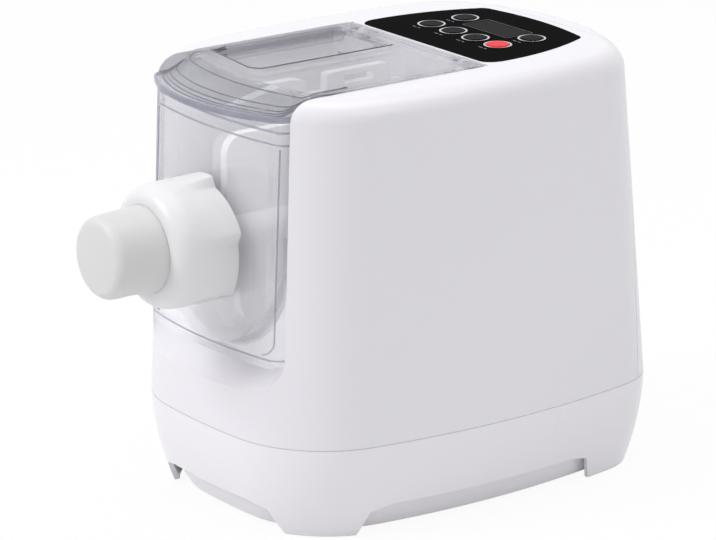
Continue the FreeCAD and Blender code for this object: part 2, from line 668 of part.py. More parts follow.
def make_cap():
    seat = NUT_FRONT_Y + CAP_SEAT
    edge_y = CAP_TIP_Y + CAP_DOME
    r = CAP_EDGE_R
    k = r * (1 - math.sqrt(0.5))
    flat_r = CAP_END_R - r
    points = [at(0.0, seat, AXIS_Z), at(CAP_R, seat, AXIS_Z), at(CAP_R, NUT_FRONT_Y, AXIS_Z)]
    points += [at(CAP_END_R, edge_y + r, AXIS_Z), at(CAP_END_R - k, edge_y + k, AXIS_Z)]
    points += [at(flat_r, edge_y, AXIS_Z), at(0.0, edge_y, AXIS_Z)]
    edges = [Part.makeLine(points[0], points[1]), Part.makeLine(points[1], points[2])]
    edges += [Part.makeLine(points[2], points[3]), arc3(*points[3:6]), Part.makeLine(points[5], points[6])]
    edges.append(Part.makeLine(points[6], points[0]))
    axis = FreeCAD.Vector(0, 1, 0)
    cap = Part.Face(Part.Wire(edges)).revolve(at(0.0, 0.0, AXIS_Z), axis, 360.0)
    dome_r = (flat_r ** 2 + CAP_DOME ** 2) / (2 * CAP_DOME)
    dome = Part.makeSphere(dome_r, at(0.0, CAP_TIP_Y + dome_r, AXIS_Z))
    cap = cap.fuse(dome.common(rod(flat_r, 0.0, CAP_TIP_Y - 1.0, edge_y + 0.5, AXIS_Z)))
    inner = CAP_END_R - CAP_WALL - CAP_GRIP_DEPTH
    cap = cap.cut(rod(inner, 0.0, edge_y + CAP_WALL, seat + 1.0, AXIS_Z))
    grip_z = AXIS_Z - CAP_END_R - CAP_GRIP_R + CAP_GRIP_DEPTH
    grip_y = edge_y + r + CAP_GRIP_R * 0.8
    write("spout_cap", cap.cut(cross_rod(CAP_GRIP_R, -40.0, 40.0, grip_y, grip_z)).removeSplitter())


# Mixing shaft with its paddles and screw

def paddle(y0, y1, side, corner, window):
    """flat blade from the hub out to the bowl, in the plane X = 0"""
    low = AXIS_Z + side * 4.0
    high = AXIS_Z + side * PADDLE_R
    k = corner * (1 - math.sqrt(0.5))
    near = high - side * corner
    points = [at(0.0, y0, low), at(0.0, y0, near), at(0.0, y0 + k, high - side * k)]
    points.append(at(0.0, y0 + corner, high))
    far = [at(0.0, y1 - corner, high), at(0.0, y1 - k, high - side * k), at(0.0, y1, near), at(0.0, y1, low)]
    edges = [Part.makeLine(points[0], points[1]), arc3(*points[1:4]), Part.makeLine(points[3], far[0])]
    edges += [arc3(*far[0:3]), Part.makeLine(far[2], far[3]), Part.makeLine(far[3], points[0])]
    blade = Part.Face(Part.Wire(edges)).extrude(FreeCAD.Vector(PADDLE_T, 0, 0))
    blade.translate(FreeCAD.Vector(-PADDLE_T / 2, 0, 0))
    if window:
        z0 = AXIS_Z + side * (HUB_R + BLADE_RIM)
        z1 = AXIS_Z + side * (PADDLE_R - BLADE_RIM)
        blade = blade.cut(box(-20.0, 20.0, y0 + BLADE_RIM, y1 - BLADE_RIM, min(z0, z1), max(z0, z1)))
    return blade


def make_mixer():
    hub_end = BOWL_REAR_Y + 2.0
    shaft = rod(HUB_R, 0.0, AUGER_FRONT_Y + AUGER_LENGTH, hub_end, AXIS_Z)
    for y0, y1, side, corner, window in BLADES:
        shaft = shaft.fuse(paddle(y0, y1, side, corner, window))
    socket = hex_bar(SOCKET_AF + 2 * SOCKET_CLEAR, hub_end - SOCKET_DEPTH, hub_end + 5.0)
    write("mixing_paddle", shaft.cut(socket).removeSplitter())
    write("auger_screw", auger())


def hex_bar(across_flats, y0, y1):
    corner = across_flats / math.sqrt(3)
    points = [around(corner, 60.0 * i, y0) for i in range(7)]
    return Part.Face(Part.makePolygon(points)).extrude(FreeCAD.Vector(0, y1 - y0, 0))


def auger():
    """screw that drives the dough into the spout: one flight round a core with a rounded nose"""
    length = AUGER_LENGTH
    rear = AUGER_FRONT_Y + length
    core = rod(AUGER_CORE_R, 0.0, AUGER_FRONT_Y, rear, AXIS_Z)
    nose = [e for e in core.Edges if abs(e.CenterOfMass.y - at(0, AUGER_FRONT_Y, 0).y) < 1e-3]
    core = core.makeFillet(AUGER_NOSE_R, nose)
    turns_length = length - AUGER_ROOT_T - AUGER_NOSE_R - 1.0
    inner = AUGER_CORE_R - 1.0
    helix = Part.makeHelix(AUGER_PITCH, turns_length, inner)
    r0 = AUGER_ROOT_T / 2
    r1 = AUGER_TIP_T / 2
    section = [(inner, -r0), (AUGER_R, -r1), (AUGER_R, r1), (inner, r0), (inner, -r0)]
    profile = Part.makePolygon([FreeCAD.Vector(x, 0, z) for x, z in section])
    flight = Part.Wire(helix.Edges).makePipeShell([profile], True, True)
    flight.rotate(FreeCAD.Vector(0, 0, 0), FreeCAD.Vector(1, 0, 0), -90)
    flight.translate(at(0.0, AUGER_FRONT_Y + AUGER_NOSE_R + r0, AXIS_Z))
    return core.fuse(flight)


# Lid

def lid_plan(half, rear_y, front_y, front_r, corner_r, z):
    """plan with a straight rear and sides and a bowed front with rounded corners"""
    cy = front_y + front_r
    corner_x = half - corner_r
    corner_y = cy - math.sqrt((front_r - corner_r) ** 2 - corner_x ** 2)
    touch = push((0.0, cy), (corner_x, corner_y), front_r)
    arc = corner_arc((corner_x, corner_y), corner_r, touch, (half, corner_y))
    left = [(-p[0], p[1]) for p in reversed(arc)]
    edges = [arc3(at(*left[-1], z), at(0.0, front_y, z), at(*arc[0], z))]
    edges.append(arc3(*[at(p[0], p[1], z) for p in arc]))
    edges.append(Part.makeLine(at(half, corner_y, z), at(half, rear_y, z)))
    edges.append(Part.makeLine(at(half, rear_y, z), at(-half, rear_y, z)))
    edges.append(Part.makeLine(at(-half, rear_y, z), at(-half, corner_y, z)))
    edges.append(arc3(*[at(p[0], p[1], z) for p in left]))
    return Part.Wire(edges)


def lid_crown(drop, grow_in):
    """outside of the lid over its sloping front, as a loft from the lip up to the flat top"""
    half = LID_HALF_WIDTH - grow_in
    rear = HINGE_Y - grow_in
    low_front = LIP_FRONT_Y + LIP_FLAT + grow_in
    low = lid_plan(half, rear, low_front, LIP_R, LIP_CORNER_R, LIP_Z + LIP_T - drop)
    high = lid_plan(half, rear, LID_PLATE_FRONT_Y + grow_in, LID_PLATE_FRONT_R, 6.0, LID_TOP_Z - drop)
    return Part.makeLoft([low, high], True, True)


def lid_tray(depth, grow):
    """pouring tray sunk in the far half of the lid"""
    left = -(LID_HALF_WIDTH - 5.0) - grow
    right = TRAY_X + grow
    front = TRAY_FRONT_Y - grow
    rear = TRAY_REAR_Y + grow
    r = TRAY_CORNER_R + grow
    k = r * (1 - math.sqrt(0.5))
    z = LID_TOP_Z - depth
    a = at(left, front + 6.0, z)
    b = at(right - r, front, z)
    c = at(right - k, front + k, z)
    d = at(right, front + r, z)
    e = at(right, rear, z)
    f = at(left, rear, z)
    edges = [Part.makeLine(a, b), arc3(b, c, d), Part.makeLine(d, e), Part.makeLine(e, f)]
    edges.append(Part.makeLine(f, a))
    return Part.Face(Part.Wire(edges)).extrude(FreeCAD.Vector(0, 0, 30.0))


def make_lid():
    outside = lid_crown(0.0, 0.0)
    inside = lid_crown(LID_T, 0.0).cut(box(-80.0, 80.0, HINGE_Y - 6.0, 200.0, 0.0, 300.0))
    inside = inside.common(box(2.0 - LID_HALF_WIDTH, LID_HALF_WIDTH - 2.0, -20.0, 200.0, 0.0, 300.0))
    lip_rear = LID_PLATE_FRONT_Y + 10.0
    lip = plate(lid_plan(LID_HALF_WIDTH, lip_rear, LIP_FRONT_Y, LIP_R, LIP_CORNER_R, LIP_Z), LIP_T)
    pin_z = LID_TOP_Z - HINGE_DROP
    barrel = cross_rod(HINGE_DROP, -LID_HALF_WIDTH, LID_HALF_WIDTH, HINGE_Y, pin_z)
    lid = outside.cut(box(-80.0, 80.0, HINGE_Y, 200.0, 0.0, 300.0)).fuse(lip)
    lid = lid.cut(inside).cut(lid_under_cut())
    lid = lid.fuse(barrel)
    tray_floor = lid_tray(TRAY_DEPTH + LID_T, LID_T).common(outside)
    lid = lid.fuse(tray_floor)
    funnel = lid_tray(TRAY_DEPTH, 0.0)
    ridge = [(SLOT_X - 3.0, TRAY_REAR_Y - TRAY_FUNNEL), (TRAY_X + 1.0, TRAY_REAR_Y - TRAY_FUNNEL)]
    ridge += [(TRAY_X + 1.0, TRAY_REAR_Y + 1.0), (-50.0, TRAY_REAR_Y + 1.0)]
    corners = [at(x, y, 0.0) for x, y in ridge]
    shelf = Part.Face(Part.makePolygon(corners + corners[:1]))
    shelf = shelf.extrude(FreeCAD.Vector(0, 0, LID_TOP_Z - TRAY_STEP))
    lid = lid.cut(funnel.cut(shelf))
    for y0, y1 in SLOT_SPANS:
        r = SLOT_W / 2
        lid = lid.cut(box(SLOT_X - r, SLOT_X + r, y0 + r, y1 - r, 200.0, 300.0))
        lid = lid.cut(post(r, SLOT_X, y0 + r, 200.0, 300.0)).cut(post(r, SLOT_X, y1 - r, 200.0, 300.0))
    lid = lid.cut(box(-80.0, 80.0, BOWL_APRON_Y - RIM_CLEAR, 200.0, 0.0, BOWL_RIM_Z + RIM_CLEAR))
    lid = lid.fuse(lid_skirt())
    notch = EAR_T / 2 + EAR_SIDE_GAP
    notch_y = BOWL_REAR_Y - BOWL_WALL - EAR_SIDE_GAP
    for side in (-1, 1):
        x = side * EAR_X
        lid = lid.cut(box(x - notch, x + notch, notch_y, 200.0, 200.0, 300.0))
        lid = lid.cut(cross_rod(PIN_R, x - 12.0, x + 12.0, HINGE_Y, pin_z))
    write("lid", largest(lid.removeSplitter()))
    pins = []
    for side in (-1, 1):
        x = side * EAR_X
        pins.append(cross_rod(PIN_R, x - 12.0, x + 12.0, HINGE_Y, pin_z))
    write_group("lid_pins", pins)


def lid_under_cut():
    """room under the lid's front for the bowl's front rim"""
    z0 = LIP_Z - 1.0
    z1 = LIP_Z + LIP_T - LID_T
    half = LID_HALF_WIDTH - 2.0
    cutter = lid_plan(half, HINGE_Y - 8.0, LIP_FRONT_Y + LIP_FLAT + 2.0, LIP_R, LIP_CORNER_R - 2.0, z0)
    return plate(cutter, z1 - z0 + 0.5)


def lid_skirt():
    """short wall under the flat top that sits inside the bowl's sides"""
    half = BAY_HALF_WIDTH - BOWL_GAP - BOWL_WALL - SKIRT_GAP
    z = BOWL_RIM_Z - SKIRT_DEPTH
    top = LID_TOP_Z - LID_T / 2
    y0 = LID_PLATE_FRONT_Y + 8.0
    y1 = BOWL_REAR_Y - BOWL_WALL - 8.0
    ring = box(-half, half, y0, y1, z, top)
    return ring.cut(box(SKIRT_T - half, half - SKIRT_T, y0 - 1.0, y1 + 1.0, z - 1.0, top + 1.0))


# Control panel, buttons and boards

def button_places():
    """plan position of each button, by name, as on the panel"""
    half = 1.5 * BUTTON_PITCH
    inner = 0.5 * BUTTON_PITCH
    rows = [("button_front_left", -half, FRONT_ROW_Y), ("button_front_mid_left", -inner, FRONT_ROW_Y)]
    rows += [("button_front_mid_right", inner, FRONT_ROW_Y), ("button_start", half, FRONT_ROW_Y)]
    rows += [("button_rear_left", -half, REAR_ROW_Y), ("button_rear_right", half, REAR_ROW_Y)]
    return rows


def ring_outer():
    return BUTTON_R + BUTTON_GAP + RING_WIDTH


def make_panel():
    low = TOP_Z + PANEL_PROUD - PANEL_T
    panel = plate(panel_outline(0.0, low), PANEL_T)
    w = WINDOW_HALF_WIDTH
    window = box(-w, w, WINDOW_Y[0], WINDOW_Y[1], low + 1.0, TOP_Z + PANEL_PROUD)
    sight = box(1.5 - w, w - 1.5, WINDOW_Y[0] + 1.5, WINDOW_Y[1] - 1.5, low - 1.0, TOP_Z)
    panel = panel.cut(window).cut(sight)
    rings = []
    for name, x, y in button_places():
        panel = panel.cut(post(ring_outer(), x, y, low - 1.0, TOP_Z + 1.0))
        ring = post(ring_outer(), x, y, low, TOP_Z + PANEL_PROUD + RING_PROUD)
        ring = ring.cut(post(BUTTON_R + BUTTON_GAP, x, y, low - 1.0, TOP_Z + 2.0))
        rings.append(ring)
        write(name, button(x, y, low))
    write("control_panel", panel)
    write("display_window", window)
    write_group("button_rings", rings)


def button(x, y, under):
    """round key: domed top, flange below the ring, stem down to its switch"""
    top = TOP_Z + PANEL_PROUD + BUTTON_PROUD
    key = post(BUTTON_R, x, y, under - BUTTON_FLANGE - PART_GAP, top)
    edge = [e for e in key.Edges if abs(e.CenterOfMass.z - top) < 1e-3]
    key = key.makeFillet(0.6, edge)
    flange = post(ring_outer() - 0.4, x, y, under - BUTTON_FLANGE - PART_GAP, under - PART_GAP)
    stem_low = BOARD_Z + BOARD_T + SWITCH_H + BUTTON_TRAVEL + BOARD_GAP
    stem = post(STEM_R, x, y, stem_low, under - PART_GAP)
    return fuse([key, flange, stem])


def make_boards():
    board = plate(panel_outline(PANEL_SHELF + 1.5, BOARD_Z), BOARD_T)
    write("control_board", board)
    switches = []
    for name, x, y in button_places():
        low = BOARD_Z + BOARD_T
        body = box(x - 3.0, x + 3.0, y - 3.0, y + 3.0, low, low + SWITCH_H - 1.0)
        switches.append(body.fuse(post(1.7, x, y, low + SWITCH_H - 1.5, low + SWITCH_H)))
    write_group("key_switches", switches)
    w = WINDOW_HALF_WIDTH - 1.5
    under = TOP_Z + PANEL_PROUD - PANEL_T
    display = box(-w, w, WINDOW_Y[0] + 1.5, WINDOW_Y[1] - 1.5, BOARD_Z + BOARD_T, under - PART_GAP)
    write("display_module", display)
    pillars = []
    for x, y in PILLAR_PLACES:
        pillars.append(post(PILLAR_R, x, y, BOARD_Z + BOARD_T, TOP_Z + PANEL_PROUD - PANEL_T))
    write_group("board_pillars", pillars)
    deck = SEAM_Z
    power = box(-46.0, 46.0, 34.0, 134.0, deck + 3.0, deck + 3.0 + BOARD_T)
    for x in (-40.0, 40.0):
        for y in (40.0, 128.0):
            power = power.fuse(post(3.0, x, y, deck, deck + 3.0))
    write("power_board", power.removeSplitter())
    low = deck + 3.0 + BOARD_T
    parts = [box(-38.0, -4.0, 44.0, 74.0, low, low + 24.0), post(9.0, 18.0, 58.0, low, low + 28.0)]
    parts += [box(6.0, 34.0, 84.0, 104.0, low, low + 16.0), box(-34.0, -14.0, 88.0, 116.0, low, low + 14.0)]
    for fin in range(5):
        x = 6.0 + 6.0 * fin
        parts.append(box(x, x + 1.6, 110.0, 128.0, low, low + 22.0))
    write_group("board_components", parts)
    y = BAY_REAR_Y + BAY_WALL
    switch = box(40.0, 52.0, y, y + 8.0, 214.0, 232.0)
    write("lid_switch", switch.fuse(box(44.0, 48.0, y + 2.0, y + 6.0, 232.0, 234.0)))


# Gear train

def gear(module, teeth, x, z, y0, width, phase):
    """spur gear with straight-flanked teeth cut to the involute at root and tip"""
    pitch_r = module * teeth / 2
    base_r = pitch_r * math.cos(math.radians(PRESSURE_DEG))
    tip_r = pitch_r + ADDENDUM * module
    root_r = pitch_r - DEDENDUM * module

    def half_angle(r):
        slope = math.acos(min(base_r / max(r, base_r), 1.0))
        rolled = math.tan(slope) - slope
        start = math.tan(math.radians(PRESSURE_DEG)) - math.radians(PRESSURE_DEG)
        return math.pi / (2 * teeth) + start - rolled - BACKLASH / (2 * pitch_r)

    points = []
    for index in range(teeth):
        middle = phase + 2 * math.pi * index / teeth
        for r, turn in ((root_r, -half_angle(root_r)), (tip_r, -half_angle(tip_r)),
                        (tip_r, half_angle(tip_r)), (root_r, half_angle(root_r))):
            points.append(at(x + r * math.cos(middle + turn), y0, z + r * math.sin(middle + turn)))
    face = Part.Face(Part.makePolygon(points + points[:1]))
    return face.extrude(FreeCAD.Vector(0, width, 0))


def gear_centres():
    """axis of the shaft, the two idlers and the motor, seen from the front"""
    centres = [(0.0, AXIS_Z)]
    for (wheel, pinion, module, width), degrees in zip(STAGES, STAGE_DIRECTIONS_DEG):
        gap = module * (wheel + pinion) / 2
        x, z = centres[-1]
        turn = math.radians(degrees)
        centres.append((x + gap * math.cos(turn), z + gap * math.sin(turn)))
    return centres


def pinion_phase(stage, wheel_phase):
    """turn of a pinion's first tooth that puts it in mesh with its wheel"""
    wheel, pinion, module, width = STAGES[stage]
    direction = math.radians(STAGE_DIRECTIONS_DEG[stage])
    step = 2 * math.pi / wheel
    offset = (direction - wheel_phase) % step
    return direction + math.pi + offset * wheel / pinion + math.pi / pinion


def make_gears():
    centres = gear_centres()
    front = BAY_REAR_Y + BAY_WALL + GEARBOX_WALL
    first = front + 3.0
    starts = [first, first + STAGES[0][3] + 3.0, first + STAGES[0][3] + STAGES[1][3] + 6.0]
    rear = front - GEARBOX_WALL + GEARBOX_DEPTH
    tips = [module * (wheel / 2 + ADDENDUM) for wheel, pinion, module, width in STAGES]
    last = STAGES[-1]
    tips.append(last[2] * (last[1] / 2 + ADDENDUM))

    output = gear(STAGES[0][2], STAGES[0][0], *centres[0], starts[0], STAGES[0][3], 0.0)
    write("output_gear", output.cut(rod(OUTPUT_R, 0.0, 0.0, 300.0, AXIS_Z)))
    hub_end = BOWL_REAR_Y + 2.0
    spindle = rod(OUTPUT_R, 0.0, hub_end + 1.0, starts[0] + STAGES[0][3] + 4.0, AXIS_Z)
    driver = hex_bar(SOCKET_AF, hub_end - SOCKET_DEPTH + 1.5, hub_end + 1.0)
    write("drive_spindle", spindle.fuse(driver).removeSplitter())

    phase = 0.0
    names = ["idler_gear_front", "idler_gear_rear"]
    for index, name in enumerate(names):
        x, z = centres[index + 1]
        wheel, pinion, module, width = STAGES[index]
        small_phase = pinion_phase(index, phase)
        small = gear(module, pinion, x, z, starts[index] - 0.5, width + 3.5, small_phase)
        big = STAGES[index + 1]
        phase = 0.0
        large = gear(big[2], big[0], x, z, starts[index + 1], big[3], phase)
        bore = rod(AXLE_R + RUNNING_FIT, x, 0.0, 300.0, z)
        write(name, small.fuse(large).cut(bore).removeSplitter())
    mx, mz = centres[3]
    wheel, pinion, module, width = STAGES[2]
    small = gear(module, pinion, mx, mz, starts[2] - 0.5, width + 1.0, pinion_phase(2, phase))
    write("motor_pinion", small.cut(rod(MOTOR_SHAFT_R, mx, 0.0, 300.0, mz)))

    def lobes(extra, y0, y1):
        return fuse([rod(t + extra, c[0], y0, y1, c[1]) for t, c in zip(tips, centres)])

    shell_grow = GEARBOX_CLEAR + GEARBOX_WALL
    case = lobes(shell_grow, front - GEARBOX_WALL, rear).cut(lobes(GEARBOX_CLEAR, front, rear + 1.0))
    case = case.cut(rod(BEARING_R, 0.0, 100.0, front + 1.0, AXIS_Z))
    lid_plate = lobes(shell_grow, rear, rear + GEARBOX_WALL)
    axles = []
    for x, z in centres[1:3]:
        case = case.cut(rod(AXLE_R, x, front - GEARBOX_WALL + 1.0, front + 1.0, z))
        lid_plate = lid_plate.cut(rod(AXLE_R, x, rear - 1.0, rear + GEARBOX_WALL - 1.0, z))
        axles.append(rod(AXLE_R, x, front - GEARBOX_WALL + 1.0, rear + GEARBOX_WALL - 1.0, z))
    lid_plate = lid_plate.cut(rod(MOTOR_SHAFT_R + 2.0, mx, rear - 1.0, rear + 10.0, mz))
    write("gearbox_housing", case)
    write("gearbox_cover", lid_plate)
    write_group("idler_axles", axles)
    bearing = rod(BEARING_R, 0.0, BAY_REAR_Y + BAY_WALL, front, AXIS_Z)
    write("output_bearing", bearing.cut(rod(OUTPUT_R + RUNNING_FIT, 0.0, 100.0, 300.0, AXIS_Z)))

    back = rear + GEARBOX_WALL
    shaft_bore = rod(MOTOR_SHAFT_R + RUNNING_FIT, mx, 100.0, 300.0, mz)
    can = rod(MOTOR_R, mx, back, back + MOTOR_LENGTH, mz)
    write("motor", can.cut(shaft_bore))
    write("motor_shaft", rod(MOTOR_SHAFT_R, mx, starts[2] - 0.5, back + MOTOR_LENGTH + 10.0, mz))
    fan_y = back + MOTOR_LENGTH + 2.0
    blades = [rod(6.0, mx, fan_y, fan_y + 7.0, mz)]
    for index in range(FAN_BLADES):
        blade = box(mx - 0.8, mx + 0.8, fan_y, fan_y + 7.0, mz + 4.0, mz + FAN_R)
        blade.rotate(at(mx, fan_y, mz), FreeCAD.Vector(0, 1, 0), 360.0 / FAN_BLADES * index)
        blades.append(blade)
    write("cooling_fan", fuse(blades).cut(rod(MOTOR_SHAFT_R, mx, 0.0, 300.0, mz)))
    cradle = box(mx - 16.0, mx + 16.0, back + 8.0, back + MOTOR_LENGTH - 8.0, SEAM_Z, mz)
    write("motor_cradle", largest(cradle.cut(rod(MOTOR_R, mx, back, 300.0, mz))))


make_housing()
make_base()
make_gland()
make_bowl()
make_nut()
make_die()
make_cap()
make_mixer()
make_lid()
make_panel()
make_boards()
make_gears()
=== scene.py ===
# %% [markdown]
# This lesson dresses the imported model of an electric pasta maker. The model comes in as a fixed
# frame: every node already has its place, and rides on the body that moves it. We give each node
# the finish of the real part, and put finer pieces where the real one has more shape than the node.

# %% Load the frame
import bmesh
import bpy
import json
import math
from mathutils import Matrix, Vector
from mathutils.bvhtree import BVHTree


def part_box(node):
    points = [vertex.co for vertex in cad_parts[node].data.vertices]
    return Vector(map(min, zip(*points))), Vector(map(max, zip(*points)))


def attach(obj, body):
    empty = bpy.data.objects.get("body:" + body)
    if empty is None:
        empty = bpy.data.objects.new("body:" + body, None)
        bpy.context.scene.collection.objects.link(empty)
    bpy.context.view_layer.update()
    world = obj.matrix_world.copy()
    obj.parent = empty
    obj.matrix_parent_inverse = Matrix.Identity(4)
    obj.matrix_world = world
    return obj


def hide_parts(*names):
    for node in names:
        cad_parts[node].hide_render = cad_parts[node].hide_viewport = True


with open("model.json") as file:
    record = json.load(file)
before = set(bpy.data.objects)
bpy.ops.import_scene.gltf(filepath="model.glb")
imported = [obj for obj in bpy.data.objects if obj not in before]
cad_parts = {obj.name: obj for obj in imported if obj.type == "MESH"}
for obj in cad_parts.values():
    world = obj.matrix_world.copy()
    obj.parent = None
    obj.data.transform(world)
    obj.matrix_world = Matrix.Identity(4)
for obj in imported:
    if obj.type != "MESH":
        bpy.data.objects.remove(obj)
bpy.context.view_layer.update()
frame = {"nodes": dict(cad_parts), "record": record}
nodes = frame["nodes"]

# %% [markdown]
# Colours are written as hex values, as a paint card or a picture editor gives them. Blender's
# shaders work in linear light, so one function turns each value over.

# %% Colour helper
MM = 0.001


def linear(code):
    """sRGB hex, such as "E8E7EC", as the linear colour that a shader takes"""
    shares = [int(code[i:i + 2], 16) / 255 for i in (0, 2, 4)]
    parts = [s / 12.92 if s <= 0.04045 else ((s + 0.055) / 1.055) ** 2.4 for s in shares]
    return (*parts, 1.0)


print("mid grey in linear light:", round(linear("808080")[0], 3))

# %% [markdown]
# A material is a small tree of nodes. One function adds a node, sets its values and joins it to
# the nodes before it, so that each material below reads as a short recipe.

# %% Node helpers
def add(tree, kind, sockets=None, **settings):
    """a node with its settings; a socket's value is a number, a colour or another node's output"""
    node = tree.nodes.new("ShaderNode" + kind)
    for name, value in settings.items():
        setattr(node, name, value)
    for name, value in (sockets or {}).items():
        if isinstance(value, bpy.types.NodeSocket):
            tree.links.new(value, node.inputs[name])
        else:
            node.inputs[name].default_value = value
    return node


def begin(name):
    """an empty material with the point on the object, in metres, that its patterns read"""
    material = bpy.data.materials.new(name)
    material.use_nodes = True
    material.node_tree.nodes.clear()
    place = add(material.node_tree, "TexCoord").outputs["Object"]
    return material, material.node_tree, place


def end(material, shader):
    """joins the last shader to the output"""
    tree = material.node_tree
    output = add(tree, "OutputMaterial")
    tree.links.new(shader.outputs[0], output.inputs["Surface"])
    return material


print("node helpers ready")

# %% [markdown]
# Moulded plastic is never quite flat: the mould leaves a faint grain that bends reflections, and
# the gloss varies a little where hands and cloths have been. Both could be painted as images, but
# a procedural noise needs no file and has no seams. The same recipe, with its own colour, gloss and
# grain size, serves every moulded part here. Real grain is finer than the sizes below: they are as
# coarse as a pattern has to be to show in a picture of this size.

# %% Moulded plastic
PLASTIC_IOR = 1.5
PATCH_RANGE = (0.1, 0.9)


def moulded(name, colour, shade, gloss, grain_mm, depth_mm, patch_mm=45.0, **shader):
    """plastic: main colour, the shade it drifts to, gloss as (low, high) roughness, grain size"""
    material, tree, place = begin(name)
    patches = add(tree, "TexNoise", {"Vector": place, "Scale": 1 / (patch_mm * MM), "Detail": 2.0})
    tint = add(tree, "MixRGB", {"Fac": patches.outputs["Fac"], "Color1": linear(colour),
                                "Color2": linear(shade)})
    rough = add(tree, "MapRange", {"Value": patches.outputs["Fac"],
                                   "From Min": PATCH_RANGE[0], "From Max": PATCH_RANGE[1],
                                   "To Min": gloss[0], "To Max": gloss[1]})
    grain = add(tree, "TexNoise", {"Vector": place, "Scale": 1 / (grain_mm * MM), "Detail": 3.0})
    bump = add(tree, "Bump", {"Height": grain.outputs["Fac"], "Strength": 1.0,
                              "Distance": depth_mm * MM})
    sockets = {"Base Color": tint.outputs["Color"], "Roughness": rough.outputs["Result"],
               "Normal": bump.outputs["Normal"], "IOR": PLASTIC_IOR}
    sockets.update(shader)
    return end(material, add(tree, "BsdfPrincipled", sockets))


print("moulded plastic ready")

# %% [markdown]
# The housing is glossy white ABS with a cool cast. The nut and the cap are polypropylene, which has
# a waxier, duller skin, so their roughness is higher and a little light travels under the surface.
# One white for all would be simpler, but on the real machine the cap is greyer than the nut, and
# the base's white is painted lighter than the housing's: painted light, for the light that the
# floor throws up onto it.

# %% White plastics
HOUSING_PATCH_MM = 260.0
# injection moulded ABS from a polished mould: broad soft reflections, and no sparkle
abs_white = moulded("glossy_abs_white", "E5E3E9", "E3E1E7", (0.24, 0.28), 1.2, 0.0012,
                    HOUSING_PATCH_MM)
# the base is a separate moulding of the same ABS, a touch less glossy; its lighter white is painted
# light, for the floor's bounce under the housing
base_white_painted_light = moulded("base_abs_white_painted_bounce", "E9E7EC", "E7E5EA", (0.26, 0.30), 1.2, 0.0012,
                     HOUSING_PATCH_MM)
# polypropylene: satin, with soft edges where light passes through the thin ribs
polypropylene_white = moulded("satin_polypropylene", "E2E2E4", "DCDCDF", (0.36, 0.44), 0.7, 0.010,
                              **{"Subsurface Weight": 0.12,
                                 "Subsurface Radius": (0.004, 0.004, 0.004)})
# the cap: the dullest and least blue of the whites
cap_white = moulded("satin_cap_white", "D2D2D2", "CECECF", (0.42, 0.50), 0.7, 0.008,
                    **{"Subsurface Weight": 0.15, "Subsurface Radius": (0.005, 0.005, 0.005)})
# acetal: a dense, slightly slippery white, seen through the bowl
mixer_white = moulded("food_safe_acetal", "F2F2F5", "ECEDF1", (0.30, 0.40), 0.9, 0.006)
print("white plastics:", abs_white.name, polypropylene_white.name)

# %% [markdown]
# Bowl and lid are clear polycarbonate. Its broad faces nearly vanish, and it is seen by its edges,
# where the eye looks along the wall and the light has bent on its way. Plain glass all over would
# look dark and heavy, so the share of real glass grows as a face turns away, and what is left is
# plain see-through plastic. Rays that carry lamp light pass straight through, because glass would
# keep them out of the bowl.

# %% Clear polycarbonate
POLYCARBONATE_IOR = 1.45
RIPPLE_WIDTH_MM = 22.0
TURNED_BLEND, TURNED_RANGE = 0.4, (0.35, 0.95)


def clear_plastic(name, colour, gloss, ripple_depth_mm, glass_share, clear):
    """see-through plastic: glass_share is the share of real glass, face on and at the edge, and
    what that glass lacks of clear is the milky haze of a moulded wall"""
    material, tree, place = begin(name)
    ripple = add(tree, "TexNoise", {"Vector": place, "Scale": 1 / (RIPPLE_WIDTH_MM * MM),
                                    "Detail": 1.0})
    bump = add(tree, "Bump", {"Height": ripple.outputs["Fac"], "Strength": 1.0,
                              "Distance": ripple_depth_mm * MM})
    solid = add(tree, "BsdfPrincipled", {"Base Color": linear(colour), "Roughness": gloss,
                                         "IOR": POLYCARBONATE_IOR, "Transmission Weight": clear,
                                         "Normal": bump.outputs["Normal"]})
    open_way = add(tree, "BsdfTransparent", {"Color": linear("FFFFFF")})
    turned = add(tree, "LayerWeight", {"Blend": TURNED_BLEND})
    glass = add(tree, "MapRange", {"Value": turned.outputs["Facing"],
                                   "From Min": TURNED_RANGE[0], "From Max": TURNED_RANGE[1],
                                   "To Min": glass_share[0], "To Max": glass_share[1]})
    path = add(tree, "LightPath")
    carries = add(tree, "Math", {0: path.outputs["Is Shadow Ray"],
                                 1: path.outputs["Is Diffuse Ray"]}, operation="MAXIMUM")
    sees = add(tree, "Math", {0: 1.0, 1: carries.outputs["Value"]}, operation="SUBTRACT")
    share = add(tree, "Math", {0: glass.outputs["Result"], 1: sees.outputs["Value"]},
                operation="MULTIPLY")
    mix = add(tree, "MixShader", {0: share.outputs["Value"]})
    tree.links.new(open_way.outputs[0], mix.inputs[1])
    tree.links.new(solid.outputs[0], mix.inputs[2])
    return end(material, mix)


# the bowl is thin and a little milky, so the mixer behind it is only faint
bowl_clear = clear_plastic("clear_polycarbonate", "F8F8FE", 0.06, 0.05, (0.36, 0.95), 0.55)
# the lid is thicker and clearer, and looks greyer for it
lid_clear = clear_plastic("clear_lid_polycarbonate", "DCDCE6", 0.05, 0.05, (0.46, 1.0), 0.90)
# edges gather the light of a whole wall and show as bluish grey lines, darker on the lid's steps;
# that grey is painted shade, tinted into the clear plastic
edge_clear_painted_shade = clear_plastic("polycarbonate_edge_painted_shade", "ADAEBD", 0.04, 0.02, (0.75, 1.0), 0.85)
step_clear_painted_shade = clear_plastic("polycarbonate_step_painted_shade", "8D8E9C", 0.04, 0.02, (0.80, 1.0), 0.85)
print("clear plastics:", bowl_clear.name, lid_clear.name, edge_clear_painted_shade.name, step_clear_painted_shade.name)

